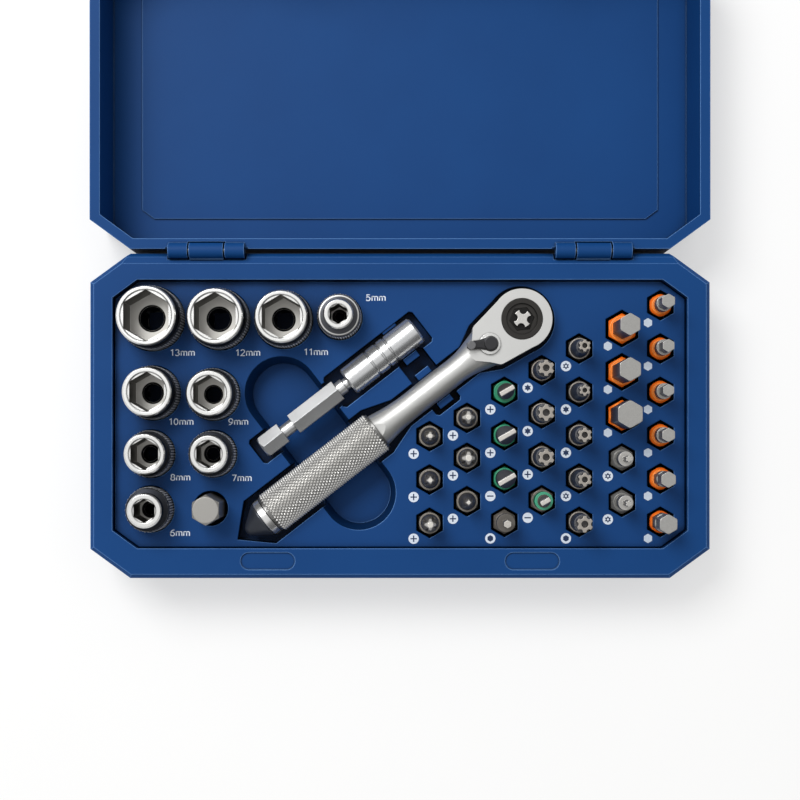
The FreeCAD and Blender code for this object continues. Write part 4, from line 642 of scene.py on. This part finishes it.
whitePoints, whiteFaces, darkPoints, darkFaces = [], [], [], []
greyPoints, greyFaces = [], []
for kind, names in signs["kinds"].items():
    for name in names.split():
        middle = middleOf(name) / mm
        centre = (middle.x + signs["offset"][0] + signs["aside"].get(name, 0),
                  middle.y + signs["offset"][1] + signs["raised"].get(name, 0))
        if kind == "hexagon":
            addShape(greyPoints, greyFaces, centre, roundShape(signs["hexagon"], 6, math.pi / 6),
                     signs["level"])
            continue
        addShape(whitePoints, whiteFaces, centre, roundShape(signs["dot"], 40), signs["level"])
        if kind in ("plus", "minus"):
            addShape(darkPoints, darkFaces, centre, bar(*signs["bar"]), signs["ink"])
        if kind == "plus":
            upright = [(y, x) for x, y in reversed(bar(*signs["bar"]))]
            addShape(darkPoints, darkFaces, centre, upright, signs["ink"] + signs["film"])
        if kind in ("star", "ringStar"):
            tip, dip = signs["star"]
            addShape(darkPoints, darkFaces, centre, roundShape(tip, 12, math.pi / 6, dip), signs["ink"])
        if kind == "ringStar":
            addShape(whitePoints, whiteFaces, centre, roundShape(signs["eye"], 20),
                     signs["ink"] + 2 * signs["film"])
        if kind == "nut":
            addShape(darkPoints, darkFaces, centre, roundShape(signs["nut"], 6, math.pi / 6), signs["ink"])
addPiece("signDots", whitePoints, whiteFaces, inkWhite, "base")
addPiece("signHexagons", greyPoints, greyFaces, inkGrey, "base")
addPiece("signMarks", darkPoints, darkFaces, inkDark, "base")
print("signs:", len(whiteFaces) + len(greyFaces), "light,", len(darkFaces), "dark")

# Pale laminate table, half plain white where it is seen, so that the background is white and shadows stay
table = {"half": 30.0, "drop": 0.0003, "white": 0.5, "mottle": 0.04}   # metres; share of plain white
tableMaterial, tree, shader, place = startMaterial(
    "paleLaminateTable", {"Roughness": 0.75, "Specular IOR Level": 0.1})
mottle = node(tree, "TexNoise", {"Scale": 1 / table["mottle"], "Detail": 2.0}, {"Vector": place})
shade = node(tree, "Mix", {"data_type": "RGBA", 6: linear("#fdfdfc"), 7: linear("#fbfbfa")},
             {0: mottle.outputs["Fac"]})
tree.links.new(shade.outputs[2], shader.inputs["Base Color"])
ray = node(tree, "LightPath")
direct = node(tree, "Math", {"operation": "MAXIMUM"},
              {0: ray.outputs["Is Camera Ray"], 1: ray.outputs["Is Glossy Ray"]})
seen = node(tree, "Math", {"operation": "MAXIMUM"},
            {0: direct.outputs["Value"], 1: ray.outputs["Is Transmission Ray"]})
share = node(tree, "Math", {"operation": "MULTIPLY", 1: table["white"]}, {0: seen.outputs["Value"]})
paper = node(tree, "Emission", {"Color": (1, 1, 1, 1), "Strength": 1.0})
mixed = node(tree, "MixShader", {}, {0: share.outputs["Value"], 1: shader.outputs["BSDF"],
                                     2: paper.outputs["Emission"]})
tree.links.new(mixed.outputs["Shader"], tree.nodes["Material Output"].inputs["Surface"])
half, level = table["half"], -table["drop"]
tableMesh = bpy.data.meshes.new("table")
corners = [(-half, -half, level), (half, -half, level), (half, half, level), (-half, half, level)]
tableMesh.from_pydata(corners, [], [(0, 1, 2, 3)])
tableMesh.materials.append(tableMaterial)
tableTop = bpy.data.objects.new("table", tableMesh)
scene.collection.objects.link(tableTop)

# Soft studio light: a dome that is brightest overhead, a lamp from the upper left, a black card opposite
dome = {0.0: 0.52, 0.22: 0.34, 0.55: 0.50, 0.85: 0.80, 1.0: 0.92}      # height, brightness
lamp = {"place": (-0.42, 0.51, 0.88), "side": 0.51, "watts": 7.4}
flag = {"way": (0.567, -0.690, 0.450), "core": 20, "rim": 41, "dark": 0.18}   # black card, degrees
world = bpy.data.worlds.new("studio")
scene.world = world
world.use_nodes = True
tree = world.node_tree
sky = tree.nodes["Background"]
direction = node(tree, "SeparateXYZ", {}, {"Vector": node(tree, "TexCoord").outputs["Generated"]})
ramp = node(tree, "ValToRGB", {}, {"Fac": direction.outputs["Z"]})
stops = ramp.color_ramp.elements
while len(stops) < len(dome):
    stops.new(0.5)
for stop, (height, glow) in zip(stops, dome.items()):
    stop.position = height
    stop.color = (glow, glow, glow, 1)
toFlag = node(tree, "VectorMath", {"operation": "DOT_PRODUCT", 1: flag["way"]},
              {0: node(tree, "TexCoord").outputs["Generated"]})
card = node(tree, "MapRange", {"interpolation_type": "SMOOTHSTEP", "To Min": 1.0, "To Max": flag["dark"],
                               "From Min": math.cos(math.radians(flag["rim"])),
                               "From Max": math.cos(math.radians(flag["core"]))},
            {"Value": toFlag.outputs["Value"]})
light = node(tree, "VectorMath", {"operation": "SCALE"},
             {0: ramp.outputs["Color"], "Scale": card.outputs["Result"]})
tree.links.new(light.outputs["Vector"], sky.inputs["Color"])
lampData = bpy.data.lights.new("softLamp", "AREA")
lampData.size = lamp["side"]
lampData.energy = lamp["watts"]
softLamp = bpy.data.objects.new("softLamp", lampData)
softLamp.location = lamp["place"]
softLamp.rotation_euler = (-Vector(lamp["place"])).to_track_quat("-Z", "Y").to_euler()
scene.collection.objects.link(softLamp)

# Straight down, as the photograph: metres, and mm for the lens
view = {"height": 0.4425, "back": -0.009, "lens": 64.13, "sensor": 36, "shiftY": 0.0576}
cameraData = bpy.data.cameras.new("camera")
cameraData.sensor_width = view["sensor"]
cameraData.lens = view["lens"]
cameraData.shift_y = view["shiftY"]
cameraData.clip_start = 0.01
camera = bpy.data.objects.new("camera", cameraData)
camera.location = (0, view["back"], view["height"])
scene.collection.objects.link(camera)
scene.camera = camera
print("table, light and camera placed")
